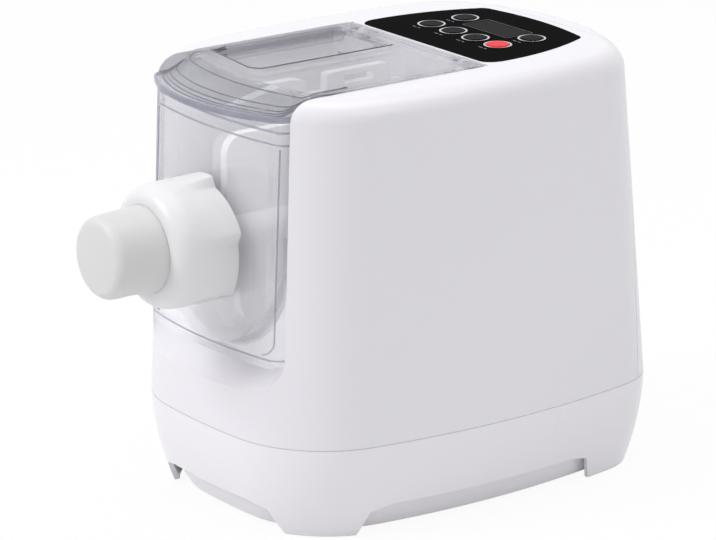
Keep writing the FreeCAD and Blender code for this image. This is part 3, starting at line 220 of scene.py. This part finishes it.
# %% [markdown]
# The small parts are a black gloss panel with a dark window, dark keys and a red start key, rubber
# pads, and the boards and gears inside. Each could have a recipe of its own, but all of them are
# moulded or coated skins, so one more use of the same recipe does. At this low angle the panel's
# gloss would show the white surround, where the real one stays black, so its specular level is low.

# %% Small finishes
# acrylic sheet, black behind: deep and even, with hardly a reflection
panel_black = moulded("gloss_black_acrylic", "09090A", "0B0B0D", (0.10, 0.14), 2.0, 0.001,
                      **{"Specular IOR Level": 0.0005})
# smoked window: glossier than the panel, and slightly brown
window_dark = moulded("smoked_window", "120F12", "171317", (0.06, 0.10), 2.0, 0.001,
                      **{"Specular IOR Level": 0.004})
# ABS keys: satin, so they stand off the glossy panel
key_dark = moulded("dark_key_plastic", "131315", "18181B", (0.22, 0.30), 0.5, 0.004,
                   **{"Specular IOR Level": 0.004})
key_red = moulded("red_key_plastic", "E8202E", "DC1A28", (0.20, 0.28), 0.5, 0.004,
                  **{"Specular IOR Level": 0.03})
# rubbers: matt, with a coarse grain
rubber = moulded("foot_rubber", "3A3A3D", "333336", (0.65, 0.80), 0.4, 0.02)
seal_rubber = moulded("silicone_seal", "A9ABB0", "A2A4AA", (0.45, 0.55), 0.5, 0.01)
# inside: glossy board lacquer, matt dark mouldings, the gears' creamy nylon, the die's cool acetal
board_green = moulded("solder_mask_green", "1E6A35", "1A5E2F", (0.30, 0.40), 0.6, 0.01)
part_black = moulded("dark_moulding", "26262A", "202024", (0.40, 0.50), 0.6, 0.01)
nylon = moulded("natural_nylon", "E6E2D6", "DEDACC", (0.35, 0.45), 0.8, 0.01)
die_plastic = moulded("die_acetal", "DADCE2", "D2D4DA", (0.35, 0.45), 0.6, 0.006)
print("plastic and rubber finishes ready")

# %% [markdown]
# Turning and drawing leave fine lines in metal, which spread a reflection across them. A scratched
# image could show them, but a noise that is squeezed along one axis draws such lines without one.
# Metal keeps Blender's default index of refraction.

# %% Metals
LINE_SQUEEZE = (1.0, 12.0, 1.0)


def drawn_metal(name, colour, gloss, line_mm, depth_mm):
    """metal with fine lines round the part's axis, as turning and polishing leave them"""
    material, tree, place = begin(name)
    squeezed = add(tree, "Mapping", {"Vector": place, "Scale": LINE_SQUEEZE})
    lines = add(tree, "TexNoise", {"Vector": squeezed.outputs["Vector"],
                                   "Scale": 1 / (line_mm * MM), "Detail": 2.0})
    rough = add(tree, "MapRange", {"Value": lines.outputs["Fac"],
                                   "To Min": gloss[0], "To Max": gloss[1]})
    bump = add(tree, "Bump", {"Height": lines.outputs["Fac"], "Distance": depth_mm * MM})
    sockets = {"Base Color": linear(colour), "Metallic": 1.0,
               "Roughness": rough.outputs["Result"], "Normal": bump.outputs["Normal"]}
    return end(material, add(tree, "BsdfPrincipled", sockets))


# bright chrome plate on the rings, duller turned steel, and the dullest, zinc plated sheet
chrome = drawn_metal("plated_ring_chrome", "C9CBD0", (0.08, 0.18), 0.8, 0.002)
steel = drawn_metal("turned_steel", "B4B6BA", (0.25, 0.38), 1.0, 0.004)
zinc = drawn_metal("zinc_plated_sheet", "A7A9AE", (0.32, 0.48), 2.5, 0.006)
print("metals:", chrome.name, steel.name, zinc.name)

# %% [markdown]
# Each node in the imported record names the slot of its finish. A table of slot to material dresses
# every node, so no node is left with the plain colour that it came with. The lid and the base then
# take their own version of what their slot gives.

# %% Dress the nodes
finishes = {
    "housing_white": abs_white, "nut_white": polypropylene_white, "cap_white": cap_white,
    "clear_plastic": bowl_clear, "die_grey": die_plastic, "paddle_white": mixer_white,
    "panel_black": panel_black, "display_dark": window_dark, "button_dark": key_dark,
    "button_red": key_red, "ring_chrome": chrome, "rubber_grey": rubber, "board_green": board_green,
    "component_dark": part_black, "steel": steel, "zinc": zinc, "nylon": nylon,
    "seal_grey": seal_rubber,
}
for part in frame["record"]["subparts"]:
    mesh = nodes[part["node"]].data
    mesh.materials.clear()
    mesh.materials.append(finishes[part["material_slot"]])
nodes["lid"].data.materials[0] = lid_clear
# the base's version is a lighter white: painted light for the floor's bounce
for name in ("base_skirt", "base_pan"):
    nodes[name].data.materials[0] = base_white_painted_light

# %% [markdown]
# Finer pieces follow. Most are beads: slim raised lines, such as the steps round the front of the
# lid. A curve object could draw them, but a spun arc keeps its exact radius. So each bead starts as
# one point that is drawn along its path, straight runs by extrusion and curves by spin, and is then
# raised into a wall, and given its thickness and its soft edges.

# %% Path and bead helpers
FRONT_Y = -107.6


def at(x, y, z):
    """a point from the part's own plan, in mm from the body's front, in the frame's metres"""
    return Vector((x * MM, (y + FRONT_Y) * MM, z * MM))


def picked_verts(made):
    """the points in what an operator made"""
    return [item for item in made if isinstance(item, bmesh.types.BMVert)]


def start_path(x, y, z):
    """a new shape with one point, the tip of the path"""
    shape = bmesh.new()
    return shape, shape.verts.new(at(x, y, z))


def run_to(shape, tip, x, y):
    """a straight run from the path's tip"""
    new = bmesh.ops.extrude_vert_indiv(shape, verts=[tip])["verts"][0]
    new.co = Vector((x * MM, (y + FRONT_Y) * MM, tip.co.z))
    return new


def turn_to(shape, tip, x, y, degrees, steps):
    """a curve from the path's tip round the upright line at x, y; anticlockwise is positive"""
    centre = Vector((x * MM, (y + FRONT_Y) * MM, tip.co.z))
    spun = bmesh.ops.spin(shape, geom=[tip], cent=centre, axis=(0, 0, 1), dvec=(0, 0, 0),
                          angle=math.radians(degrees), steps=steps, use_duplicate=False)
    return picked_verts(spun["geom_last"])[0]


CORNER_STEPS, BOW_STEPS = 8, 40


def front_path(half, rear_y, front_y, radius, corner, z):
    """plan of a bowed front: side, corner, bow, corner, side"""
    shape, tip = start_path(half, rear_y, z)
    bow_y = front_y + radius
    across = half - corner
    corner_y = bow_y - math.sqrt((radius - corner) ** 2 - across ** 2)
    lean = math.degrees(math.asin(across / (radius - corner)))
    tip = run_to(shape, tip, half, corner_y)
    tip = turn_to(shape, tip, across, corner_y, lean - 90.0, CORNER_STEPS)
    tip = turn_to(shape, tip, 0.0, bow_y, -2.0 * lean, BOW_STEPS)
    tip = turn_to(shape, tip, -across, corner_y, lean - 90.0, CORNER_STEPS)
    run_to(shape, tip, -half, rear_y)
    return shape


print("path helpers ready")

# %% [markdown]
# A piece is one object with its place in its mesh. It rides on the body that carries it, and names
# the slot whose finish it has. Its wall and its soft edges could be modelled by hand, but two
# modifiers give them to every bead alike.

# %% Piece helpers
SHARP_DEGREES = 32.0
SOFT_EDGE_DEGREES = 40.0
BEAD_EDGE_MM = 0.3


def finish_piece(shape, name, material, body, bevel_mm=0.0, wall_mm=0.0):
    """an object from a bmesh, with a wall and soft edges where they are asked for"""
    mesh = bpy.data.meshes.new(name)
    bmesh.ops.recalc_face_normals(shape, faces=shape.faces)
    shape.to_mesh(mesh)
    shape.free()
    mesh.materials.append(material)
    piece = bpy.data.objects.new(name, mesh)
    bpy.context.scene.collection.objects.link(piece)
    if wall_mm:
        wall = piece.modifiers.new("wall", "SOLIDIFY")
        wall.thickness = wall_mm * MM
        wall.offset = 0.0
        wall.use_even_offset = True
    if bevel_mm:
        soft = piece.modifiers.new("soft_edges", "BEVEL")
        soft.width = bevel_mm * MM
        soft.segments = 3
        soft.limit_method = "ANGLE"
        soft.angle_limit = math.radians(SOFT_EDGE_DEGREES)
    mesh.shade_smooth()
    mesh.set_sharp_from_angle(angle=math.radians(SHARP_DEGREES))
    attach(piece, body)
    return piece


def raise_wall(shape, reach_mm):
    """turns a path into a wall, by the reach in mm along x, y and z"""
    made = bmesh.ops.extrude_edge_only(shape, edges=list(shape.edges))["geom"]
    bmesh.ops.translate(shape, verts=picked_verts(made), vec=Vector(reach_mm) * MM)
    return shape


def bead(path, name, height_mm, wall_mm, body, material):
    """a slim raised line of clear plastic along a path"""
    return finish_piece(raise_wall(path, (0, 0, height_mm)), name, material, body,
                        bevel_mm=BEAD_EDGE_MM, wall_mm=wall_mm)


print("piece helpers ready")

# %% [markdown]
# The lid's front is stepped: a thick rim at the lip, and five steps above it, the last where the
# slope meets the flat top. The steps could be cut into the lid, but its solid is kept as it is, so
# each is a bead laid on the lid, whose height is read from the lid's own mesh.

# %% Lid steps
RIM_SHAPE = {"half": 61.5, "rear_y": 34.0, "front_y": -2.8, "radius": 119.2, "corner": 13.2,
             "z": 236.9}
RIM_HEIGHT, RIM_WALL = 3.6, 1.5
STEP_REAR, STEP_START_Z, STEP_HEIGHT, STEP_SINK = 60.0, 240.0, 1.0, 0.65
# name, half width, front, bow radius, corner radius, thickness, all in mm
STEPS = [("lid_lower_step", 57.5, 1.4, 116.0, 10.5, 1.1),
         ("lid_second_step", 56.5, 4.0, 119.0, 9.8, 0.4),
         ("lid_middle_step", 55.5, 6.8, 122.0, 9.0, 0.6),
         ("lid_fourth_step", 56.0, 11.5, 128.0, 9.0, 0.4),
         ("lid_upper_step", 56.5, 23.0, 160.0, 8.0, 0.6)]


def surface_reader(node_name):
    """a function that gives the node's height, in metres, under a point of the plan, or None"""
    mesh = nodes[node_name].data
    tree = BVHTree.FromPolygons([v.co for v in mesh.vertices],
                                [p.vertices for p in mesh.polygons])

    def height(x, y):
        hit = tree.ray_cast(Vector((x, y, 1.0)), Vector((0, 0, -1)))[0]
        return None if hit is None else hit.z

    return height


def lay_on(shape, height, sink_mm):
    """puts each point of a path on the surface, sunk a little so that the bead grows out of it"""
    for vert in shape.verts:
        z = height(vert.co.x, vert.co.y)
        if z is not None:
            vert.co.z = z - sink_mm * MM
    return shape


lid_height = surface_reader("lid")
bead(front_path(**RIM_SHAPE), "lid_rim", RIM_HEIGHT, RIM_WALL, "lid", edge_clear_painted_shade)
for name, half, front_y, radius, corner, wall in STEPS:
    path = front_path(half, STEP_REAR, front_y, radius, corner, STEP_START_Z)
    bead(lay_on(path, lid_height, STEP_SINK), name, STEP_HEIGHT, wall, "lid", step_clear_painted_shade)
print("lid rim and", len(STEPS), "steps")

# %% [markdown]
# The tray in the lid shows as one dark line, where its rounded rim bends light most. A bead of the
# clear plastic would be truer, but one this slim looks pale, so the line is a slim opaque rim with
# painted shade, as dark as that deep edge looks.

# %% Tray rim
# painted shade: an opaque dark grey in place of the light bent at the clear rim's deep edge, hard
# and glossy
tray_rim_painted_shade = moulded("painted_shade_tray_rim_line", "4E4E58", "464650", (0.10, 0.16), 2.0, 0.001)
TRAY_RIM_Z, TRAY_RIM_MM = 248.85, 0.7
# plan points in mm: the side, where the front corner starts, the corner's centre, and the rear
TRAY_SIDE, CORNER_START = (-56.6, 49.0), (-13.0, 43.0)
CORNER_CENTRE, CORNER_TURN = (-12.2, 51.2), 84.0
TRAY_REAR = (-4.0, 137.0)
shape, tip = start_path(*TRAY_SIDE, TRAY_RIM_Z)
tip = run_to(shape, tip, *CORNER_START)
tip = turn_to(shape, tip, *CORNER_CENTRE, CORNER_TURN, 10)
run_to(shape, tip, *TRAY_REAR)
bead(shape, "tray_rim", TRAY_RIM_MM, TRAY_RIM_MM, "lid", tray_rim_painted_shade)
print("tray rim ready")

# %% [markdown]
# A small plain arrow in the tray's floor points to where the flour goes in. A printed mark would
# do, but a solid one catches the light as a moulded one does. It starts as a circle of three
# points, which an extrusion makes solid.

# %% Tray arrow
ARROW_R, ARROW_T, ARROW_PLACE = 2.2, 0.4, (-13.0, 132.0, 246.7)
shape = bmesh.new()
bmesh.ops.create_circle(shape, cap_ends=True, segments=3, radius=ARROW_R * MM)
bmesh.ops.translate(shape, verts=shape.verts, vec=at(*ARROW_PLACE))
made = bmesh.ops.extrude_face_region(shape, geom=list(shape.faces))["geom"]
bmesh.ops.translate(shape, verts=picked_verts(made), vec=(0, 0, ARROW_T * MM))
finish_piece(shape, "tray_arrow", part_black, "lid", bevel_mm=0.08)
print("tray arrow ready")

# %% [markdown]
# Two raised bands stiffen the top of the bowl, and a third runs round its foot. The bowl's front
# leans back a little, so a band's place along y comes from its height. They could be modelled into
# the bowl's mesh, but beads leave the bowl as it came, and are easy to move.

# %% Bowl bands
BOWL_FOOT_Z, BOWL_FOOT_Y, BOWL_LEAN, BOWL_RISE = 98.7, 3.0, 6.0, 139.3
BOWL_BOW_R, BOWL_CORNER_R, BAND_PROUD = 290.0, 9.0, 0.1


def bowl_front_y(z):
    """the bowl's front at a height, in mm"""
    return BOWL_FOOT_Y + BOWL_LEAN * (z - BOWL_FOOT_Z) / BOWL_RISE


# name, half width, rear end, height of the bowl's front that it follows, base, height, thickness
BANDS = [("bowl_upper_band", 61.0, 24.0, 230.4, 230.4, 1.2, 1.1),
         ("bowl_lower_band", 61.0, 24.0, 223.6, 223.6, 1.0, 1.1),
         ("bowl_foot_band", 61.1, 18.0, 104.0, 103.2, 1.0, 0.9)]
for name, half, rear_y, follow_z, z, height, wall in BANDS:
    front_y = bowl_front_y(follow_z) - BAND_PROUD
    path = front_path(half, rear_y, front_y, BOWL_BOW_R, BOWL_CORNER_R, z)
    bead(path, name, height, wall, "bowl", edge_clear_painted_shade)
print("bowl bands:", len(BANDS))

# %% [markdown]
# A line runs down each front corner of the bowl and turns into the foot with a rounded corner. The
# path helpers draw in plan, so the line is drawn flat, with its height laid along y, and each point
# is then stood up on the bowl's front, which is simpler than a second set of helpers.

# %% Bowl corner lines
LINE_X, LINE_TOP_Z, LINE_TURN_Z, LINE_TURN_R, LINE_TURN_DEGREES = 57.5, 222.0, 114.0, 8.0, 88.0
LINE_SINK, LINE_DEPTH = 0.45, 0.9
CORNER_START_X = 52.0
for side, name in ((-1, "bowl_corner_line_left"), (1, "bowl_corner_line_right")):
    shape, tip = start_path(side * LINE_X, LINE_TOP_Z, 0.0)
    tip = run_to(shape, tip, side * LINE_X, LINE_TURN_Z)
    turn_to(shape, tip, side * (LINE_X - LINE_TURN_R), LINE_TURN_Z, -side * LINE_TURN_DEGREES, 8)
    for vert in shape.verts:
        x, z = vert.co.x / MM, vert.co.y / MM - FRONT_Y
        bowed_x = min(abs(x), CORNER_START_X)
        past = max(0.0, abs(x) - CORNER_START_X)
        bow = BOWL_BOW_R - math.sqrt(BOWL_BOW_R ** 2 - bowed_x ** 2)
        corner = BOWL_CORNER_R - math.sqrt(BOWL_CORNER_R ** 2 - past ** 2)
        vert.co = at(x, bowl_front_y(z) + bow + corner - LINE_SINK, z)
    raise_wall(shape, (0, LINE_DEPTH, 0))
    finish_piece(shape, name, edge_clear_painted_shade, "bowl", bevel_mm=0.25,
                 wall_mm=LINE_DEPTH)
print("bowl corner lines ready")

# %% [markdown]
# The nut is the piece that a hand turns, so its grip is a ring of six ratchet ribs: each rises
# slowly round the nut to a crest and then drops steeply, and all of them fade out towards the
# front. Each rib could be a piece of its own, but its foot would show as a line. So the nut's
# section is spun round the spout's axis, and the ribs are then raised by moving the points of the
# outer skin in and out, which keeps it one smooth moulding.

# %% Nut section
AXIS_Z = 161.5
NUT_FRONT, NUT_REAR = -34.8, 3.5
SHOULDER_R, SHOULDER_REACH_Y, SHOULDER_REACH_R = 26.2, 12.15, 9.0
MOUTH_R, THREAD_R, THREAD_FRONT, REAR_EDGE_R = 24.7, 30.2, -30.8, 33.0
REAR_FLARE, SKIN_STEPS, NUT_SPIN_STEPS = 0.9, 26, 288


def spin_round_axis(profile, closed, steps):
    """spins a section, a list of (y, radius) in mm, round the spout's axis"""
    shape = bmesh.new()
    verts = [shape.verts.new(at(0.0, y, AXIS_Z + radius)) for y, radius in profile]
    pairs = list(zip(verts, verts[1:])) + ([(verts[-1], verts[0])] if closed else [])
    edges = [shape.edges.new(pair) for pair in pairs]
    bmesh.ops.spin(shape, geom=verts + edges, cent=at(0.0, 0.0, AXIS_Z), axis=(0, 1, 0),
                   dvec=(0, 0, 0), angle=math.tau, steps=steps, use_merge=True,
                   use_duplicate=False)
    bmesh.ops.remove_doubles(shape, verts=shape.verts, dist=0.001 * MM)
    return shape


def quarter(y, radius, reach_y, reach_r, steps):
    """a quarter oval of a section, from the face at y round to the side"""
    turns = [math.radians(90.0 * i / steps) for i in range(steps + 1)]
    return [(y + reach_y * (1 - math.cos(a)), radius + reach_r * math.sin(a)) for a in turns]


section = [(NUT_FRONT, MOUTH_R)]
section += quarter(NUT_FRONT, SHOULDER_R, SHOULDER_REACH_Y, SHOULDER_REACH_R, 10)
start_y, start_r = section[-1]
for i in range(1, SKIN_STEPS + 1):
    share = i / SKIN_STEPS
    section.append((start_y + share * (NUT_REAR - start_y), start_r + REAR_FLARE * share))
section += [(NUT_REAR, REAR_EDGE_R), (NUT_REAR, THREAD_R), (THREAD_FRONT, THREAD_R),
            (THREAD_FRONT, MOUTH_R)]
nut_shape = spin_round_axis(section, True, NUT_SPIN_STEPS)
print("nut section:", len(section), "points")

# %% [markdown]
# Now the ribs. A point's turn from the crest before it gives a wave between 0, the valley, and 1,
# the crest, and its place along the nut gives how much of that wave it takes.

# %% Nut ribs
RIB_TURN, CREST_DEGREES, DROP_DEGREES = 60.0, 14.3, 9.0
RIB_REACH, RIB_SINK, RIB_LENGTH = 4.7, 2.4, 27.0
RIB_FADE_POWER, RIB_WAVE_POWER, SKIN_R = 1.15, 1.2, 34.0
for vert in nut_shape.verts:
    x, y, z = vert.co.x / MM, vert.co.y / MM - FRONT_Y, vert.co.z / MM - AXIS_Z
    radius = math.hypot(x, z)
    fade = min(1.0, max(0.0, (y - (NUT_REAR - RIB_LENGTH)) / RIB_LENGTH)) ** RIB_FADE_POWER
    if radius > SKIN_R and fade > 0.0:
        turn = (math.degrees(math.atan2(x, z)) - CREST_DEGREES) % RIB_TURN
        if turn < DROP_DEGREES:
            wave = 1.0 - turn / DROP_DEGREES
        else:
            wave = (turn - DROP_DEGREES) / (RIB_TURN - DROP_DEGREES)
        lift = fade * (RIB_REACH * wave ** RIB_WAVE_POWER - RIB_SINK)
        scale = (radius + lift) / radius
        vert.co.x = x * scale * MM
        vert.co.z = (AXIS_Z + z * scale) * MM
nut = finish_piece(nut_shape, "ribbed_nut", polypropylene_white, "nut")
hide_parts("die_nut")
print("nut:", len(nut.data.polygons), "faces")

# %% [markdown]
# The cap's end is softly rounded, and a hollow under it gives the thumb a hold. Its section is spun
# in the same way. A boolean could cut the hollow with a round bar, but would leave sharp edges, so
# the points that the bar would reach are moved up to its round instead.

# %% Cap
CAP_TIP, CAP_OPEN, CAP_SPIN_STEPS = -67.8, -31.8, 144
DOME_R, DOME_RISE, EDGE_REACH = 17.0, 1.2, 6.0
CAP_FLAT_R, CAP_END_R, CAP_SEAT_R, CAP_SIDE_STEPS = 17.2, 23.2, 24.6, 20
HOLLOW_R, HOLLOW_FRONT = 17.9, -63.7
section = [(CAP_TIP, 0.0)]
section += [(CAP_TIP + DOME_RISE * (r / DOME_R) ** 2, r) for r in (3.0, 6.0, 9.0, 12.0, 15.0)]
section += quarter(CAP_TIP + DOME_RISE, CAP_FLAT_R, EDGE_REACH, EDGE_REACH, 12)
side_y = section[-1][0]
for i in range(1, CAP_SIDE_STEPS + 1):
    share = i / CAP_SIDE_STEPS
    section.append((side_y + (NUT_FRONT - side_y) * share,
                    CAP_END_R + (CAP_SEAT_R - CAP_END_R) * share))
section += [(CAP_OPEN, CAP_SEAT_R), (CAP_OPEN, HOLLOW_R), (HOLLOW_FRONT, HOLLOW_R),
            (HOLLOW_FRONT, 0.0)]
cap_shape = spin_round_axis(section, False, CAP_SPIN_STEPS)
GRIP_Y, GRIP_R, GRIP_DEPTH, GRIP_SIDE_R, CAP_SKIN_R = -51.2, 13.0, 3.4, 23.4, 18.5
for vert in cap_shape.verts:
    y, z = vert.co.y / MM - FRONT_Y, vert.co.z / MM - AXIS_Z
    radius = math.hypot(vert.co.x / MM, z)
    if radius > CAP_SKIN_R and z < 0.0 and abs(y - GRIP_Y) < GRIP_R:
        bar = math.sqrt(GRIP_R ** 2 - (y - GRIP_Y) ** 2) + GRIP_DEPTH - GRIP_R
        vert.co.z = (AXIS_Z + max(z, bar - GRIP_SIDE_R)) * MM
cap = finish_piece(cap_shape, "grip_cap", cap_white, "cap")
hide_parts("spout_cap")
print("cap:", len(cap.data.polygons), "faces")

# %% [markdown]
# A fine seam runs round the housing where it meets the base. A groove would be truer, but the two
# solids meet there without a gap, so a slim ribbon in the grey of a shadow stands for it. It is cut
# from the base skirt's own outline: a plane is drawn through a copy of the mesh, and only the
# outermost loop that it leaves is kept.

# %% Base seam
SEAM_Z, SEAM_HEIGHT, SEAM_PROUD, SEAM_DROP = 55.0, 0.5, 0.02, 0.4
# not a coating but the shadow in the gap: matt and a little darker than the housing
seam_grey = moulded("seam_shadow_grey", "BDBBC3", "B7B5BD", (0.60, 0.70), 0.6, 0.001)


def joined_loops(shape):
    """the points of each separate loop, the shortest loop along y first"""
    seen, loops = set(), []
    for start in shape.verts:
        loop, waiting = [], [start]
        while waiting:
            vert = waiting.pop()
            if vert not in seen:
                seen.add(vert)
                loop.append(vert)
                waiting += [edge.other_vert(vert) for edge in vert.link_edges]
        if loop:
            loops.append(loop)
    return sorted(loops, key=lambda loop: max(v.co.y for v in loop) - min(v.co.y for v in loop))


shape = bmesh.new()
shape.from_mesh(nodes["base_skirt"].data)
bmesh.ops.remove_doubles(shape, verts=shape.verts, dist=0.001 * MM)
plane = Vector((0.0, 0.0, (SEAM_Z - SEAM_DROP) * MM))
everything = shape.verts[:] + shape.edges[:] + shape.faces[:]
bmesh.ops.bisect_plane(shape, geom=everything, plane_co=plane, plane_no=(0, 0, 1),
                       dist=0.0001 * MM, clear_outer=True, clear_inner=True)
loops = joined_loops(shape)
bmesh.ops.delete(shape, geom=[v for loop in loops[:-1] for v in loop], context="VERTS")
bmesh.ops.dissolve_limit(shape, angle_limit=math.radians(0.05), verts=shape.verts,
                         edges=shape.edges)
for vert in shape.verts:
    vert.co += Vector((vert.co.x, vert.co.y, 0.0)).normalized() * SEAM_PROUD * MM
raise_wall(shape, (0, 0, SEAM_HEIGHT))
seam = finish_piece(shape, "base_seam", seam_grey, "housing")
print("seam:", len(loops), "loops,", len(seam.data.polygons), "faces")

# %% [markdown]
# The black panel comes closer to the lid than its solid does. It could be modelled afresh, but a
# copy of the solid's mesh keeps every opening where it is. The points in front of the keys are
# moved forward, so only a slim white strip is left, and its broad face is shaded flat.

# %% Panel
STRETCH_FROM, PANEL_FRONT, NEW_FRONT = 175.0, 161.0, 154.6
shape = bmesh.new()
shape.from_mesh(nodes["control_panel"].data)
bmesh.ops.remove_doubles(shape, verts=shape.verts, dist=0.001 * MM)
for vert in shape.verts:
    y = vert.co.y / MM - FRONT_Y
    if y < STRETCH_FROM:
        share = (STRETCH_FROM - y) / (STRETCH_FROM - PANEL_FRONT)
        vert.co.y = (STRETCH_FROM - share * (STRETCH_FROM - NEW_FRONT) + FRONT_Y) * MM
panel = finish_piece(shape, "panel_plate", panel_black, "housing")
panel.data.shade_flat()
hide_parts("control_panel")
print("panel front at", NEW_FRONT, "mm")

# %% [markdown]
# Plain marks stand by the keys: short bars in a dull grey, printed in front of each key, with no
# lettering. A thin brown line frames the window. An image could hold them, but blocks as thin as
# ink stay sharp from near by and need no file.

# %% Key marks and window line
# screen printed inks: flat and matt, with no gloss of their own
print_grey = moulded("printed_grey_ink", "6E6B6E", "646166", (0.45, 0.55), 0.5, 0.001)
frame_brown = moulded("window_line_brown", "4A3A34", "40322E", (0.40, 0.50), 0.5, 0.001)
KEYS = [(-30.45, 185.0), (-10.15, 185.0), (10.15, 185.0), (30.45, 185.0),
        (-30.45, 209.5), (30.45, 209.5)]
INK_T, MARK_W, MARK_DROP = 0.06, 0.7, 10.6
# place along x from the key's middle, and length
MARK_BARS = [(-2.2, 3.4), (2.0, 2.4)]
# the window's frame: its middle, the half distances of its lines, and the lines' own lengths
WINDOW_Y, WINDOW_HALF_X, WINDOW_HALF_Y = 209.0, 20.3, 9.6
WINDOW_LINE_X, WINDOW_LINE_Y, LINE_W = 41.0, 19.7, 0.5


panel_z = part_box("control_panel")[1][2] / MM


def flat_bar(shape, x, y, length, width):
    """a slim block on the panel"""
    made = bmesh.ops.create_cube(shape, size=1.0)["verts"]
    bmesh.ops.scale(shape, verts=made, vec=(length * MM, width * MM, INK_T * MM))
    bmesh.ops.translate(shape, verts=made, vec=at(x, y, panel_z))


shape = bmesh.new()
for x, y in KEYS:
    for offset, length in MARK_BARS:
        flat_bar(shape, x + offset, y - MARK_DROP, length, MARK_W)
finish_piece(shape, "key_marks", print_grey, "housing")
shape = bmesh.new()
for side in (-1, 1):
    flat_bar(shape, 0.0, WINDOW_Y + side * WINDOW_HALF_Y, WINDOW_LINE_X, LINE_W)
    flat_bar(shape, side * WINDOW_HALF_X, WINDOW_Y, LINE_W, WINDOW_LINE_Y)
finish_piece(shape, "window_line", frame_brown, "housing")
print("panel top at", round(panel_z, 2), "mm")

# %% [markdown]
# The stage is a pale floor. To the camera, and to the rays that glass and gloss send out, most of
# it is plain white, as on a cut-out studio picture, and the rest is lit floor, which keeps a faint
# shadow under the machine. Lamps strong enough to turn a plain floor white would wash out the white
# housing too.

# %% Floor
FLOOR_GLOW = 0.93
FLOOR_HALF = 30.0


def white_for_sight(tree):
    """1 for rays that look, through glass or at a gloss too, and 0 for rays that carry light"""
    path = add(tree, "LightPath")
    through = add(tree, "Math", {0: path.outputs["Is Camera Ray"],
                                 1: path.outputs["Is Transmission Ray"]}, operation="MAXIMUM")
    return add(tree, "Math", {0: through.outputs["Value"], 1: path.outputs["Is Glossy Ray"]},
               operation="MAXIMUM")


def floor_material():
    """matt white paint, most of which looks plain white to a ray that looks"""
    material, tree, _ = begin("pale_floor")
    seen = white_for_sight(tree)
    paint = add(tree, "BsdfDiffuse", {"Color": linear("F2F2F2")})
    glow = add(tree, "Emission", {"Color": linear("FFFFFF"), "Strength": 1.0})
    share = add(tree, "Math", {0: seen.outputs["Value"], 1: FLOOR_GLOW}, operation="MULTIPLY")
    mix = add(tree, "MixShader", {0: share.outputs["Value"]})
    tree.links.new(paint.outputs[0], mix.inputs[1])
    tree.links.new(glow.outputs[0], mix.inputs[2])
    return end(material, mix)


floor_mesh = bpy.data.meshes.new("floor")
shape = bmesh.new()
bmesh.ops.create_grid(shape, x_segments=1, y_segments=1, size=FLOOR_HALF)
shape.to_mesh(floor_mesh)
shape.free()
floor_mesh.materials.append(floor_material())
floor = bpy.data.objects.new("floor", floor_mesh)
bpy.context.scene.collection.objects.link(floor)
print("floor", FLOOR_HALF * 2, "m wide")

# %% [markdown]
# Round it all is a white surround, as in a light tent. It looks white for the same rays, but gives
# less light than that, because an even light from all sides would leave the housing without shape.

# %% Surround
WORLD_LIGHT = 0.58
world = bpy.data.worlds.new("white_surround")
bpy.context.scene.world = world
world.use_nodes = True
world.node_tree.nodes.clear()
seen = white_for_sight(world.node_tree)
level = add(world.node_tree, "MapRange", {"Value": seen.outputs["Value"],
                                          "To Min": WORLD_LIGHT, "To Max": 1.0})
sky = add(world.node_tree, "Background", {"Color": linear("FFFFFF"),
                                          "Strength": level.outputs["Result"]})
world_out = add(world.node_tree, "OutputWorld")
world.node_tree.links.new(sky.outputs[0], world_out.inputs["Surface"])
print("the surround lights with", WORLD_LIGHT, "of its white")

# %% [markdown]
# Product pictures use wide soft lamps, whose reflections draw long smooth bands down the housing.
# Small ones would leave hard spots on the gloss. The key lamp stands high in front of the machine,
# a weaker one fills from high over its +X side, and a third hangs above the lid.

# %% Lamps
def soft_lamp(name, place, aim, size, power):
    """a wide lamp turned to the aim; size in metres, power in watts"""
    light = bpy.data.lights.new(name, "AREA")
    light.shape = "RECTANGLE"
    light.size, light.size_y = size
    light.energy = power
    lamp = bpy.data.objects.new(name, light)
    bpy.context.scene.collection.objects.link(lamp)
    lamp.location = place
    lamp.rotation_euler = (Vector(aim) - Vector(place)).to_track_quat("-Z", "Y").to_euler()
    return lamp


middle = (0.0, 0.0, 0.13)
soft_lamp("key_lamp", (-0.6, -1.7, 1.5), middle, (0.7, 0.8), 22.0)
soft_lamp("fill_lamp", (1.9, 0.5, 1.9), middle, (1.2, 1.4), 7.0)
soft_lamp("top_lamp", (0.0, 0.3, 1.9), middle, (1.4, 1.4), 11.0)

# %% [markdown]
# The camera stands where the photograph was taken from, found by matching the machine's edges: a
# long lens from over two metres, a little above the top, turned towards the side. A shorter lens
# from nearer would show the same faces, but with edges that run together more.

# %% Camera
CAMERA_AZIMUTH = 53.30
CAMERA_ELEVATION = 17.24
CAMERA_PLACE = (1.7817, -1.3259, 0.8124)
LENS_MM = 206.66
lens = bpy.data.cameras.new("photo_lens")
lens.sensor_width = 36.0
lens.lens = LENS_MM
lens.clip_end = 100.0
camera = bpy.data.objects.new("photo_camera", lens)
bpy.context.scene.collection.objects.link(camera)
camera.location = CAMERA_PLACE
camera.rotation_euler = (math.radians(90.0 - CAMERA_ELEVATION), 0.0, math.radians(CAMERA_AZIMUTH))
bpy.context.scene.camera = camera
bpy.context.scene.view_settings.view_transform = "Standard"
print("camera", round((camera.location - Vector(middle)).length, 2), "m away")

# %% [markdown]
# Last, the dressing is done. The pieces stay inside the model's size, so the dressed model's box
# should agree with the imported one's to a fraction of a millimetre.

# %% Finish
print("dressing done")
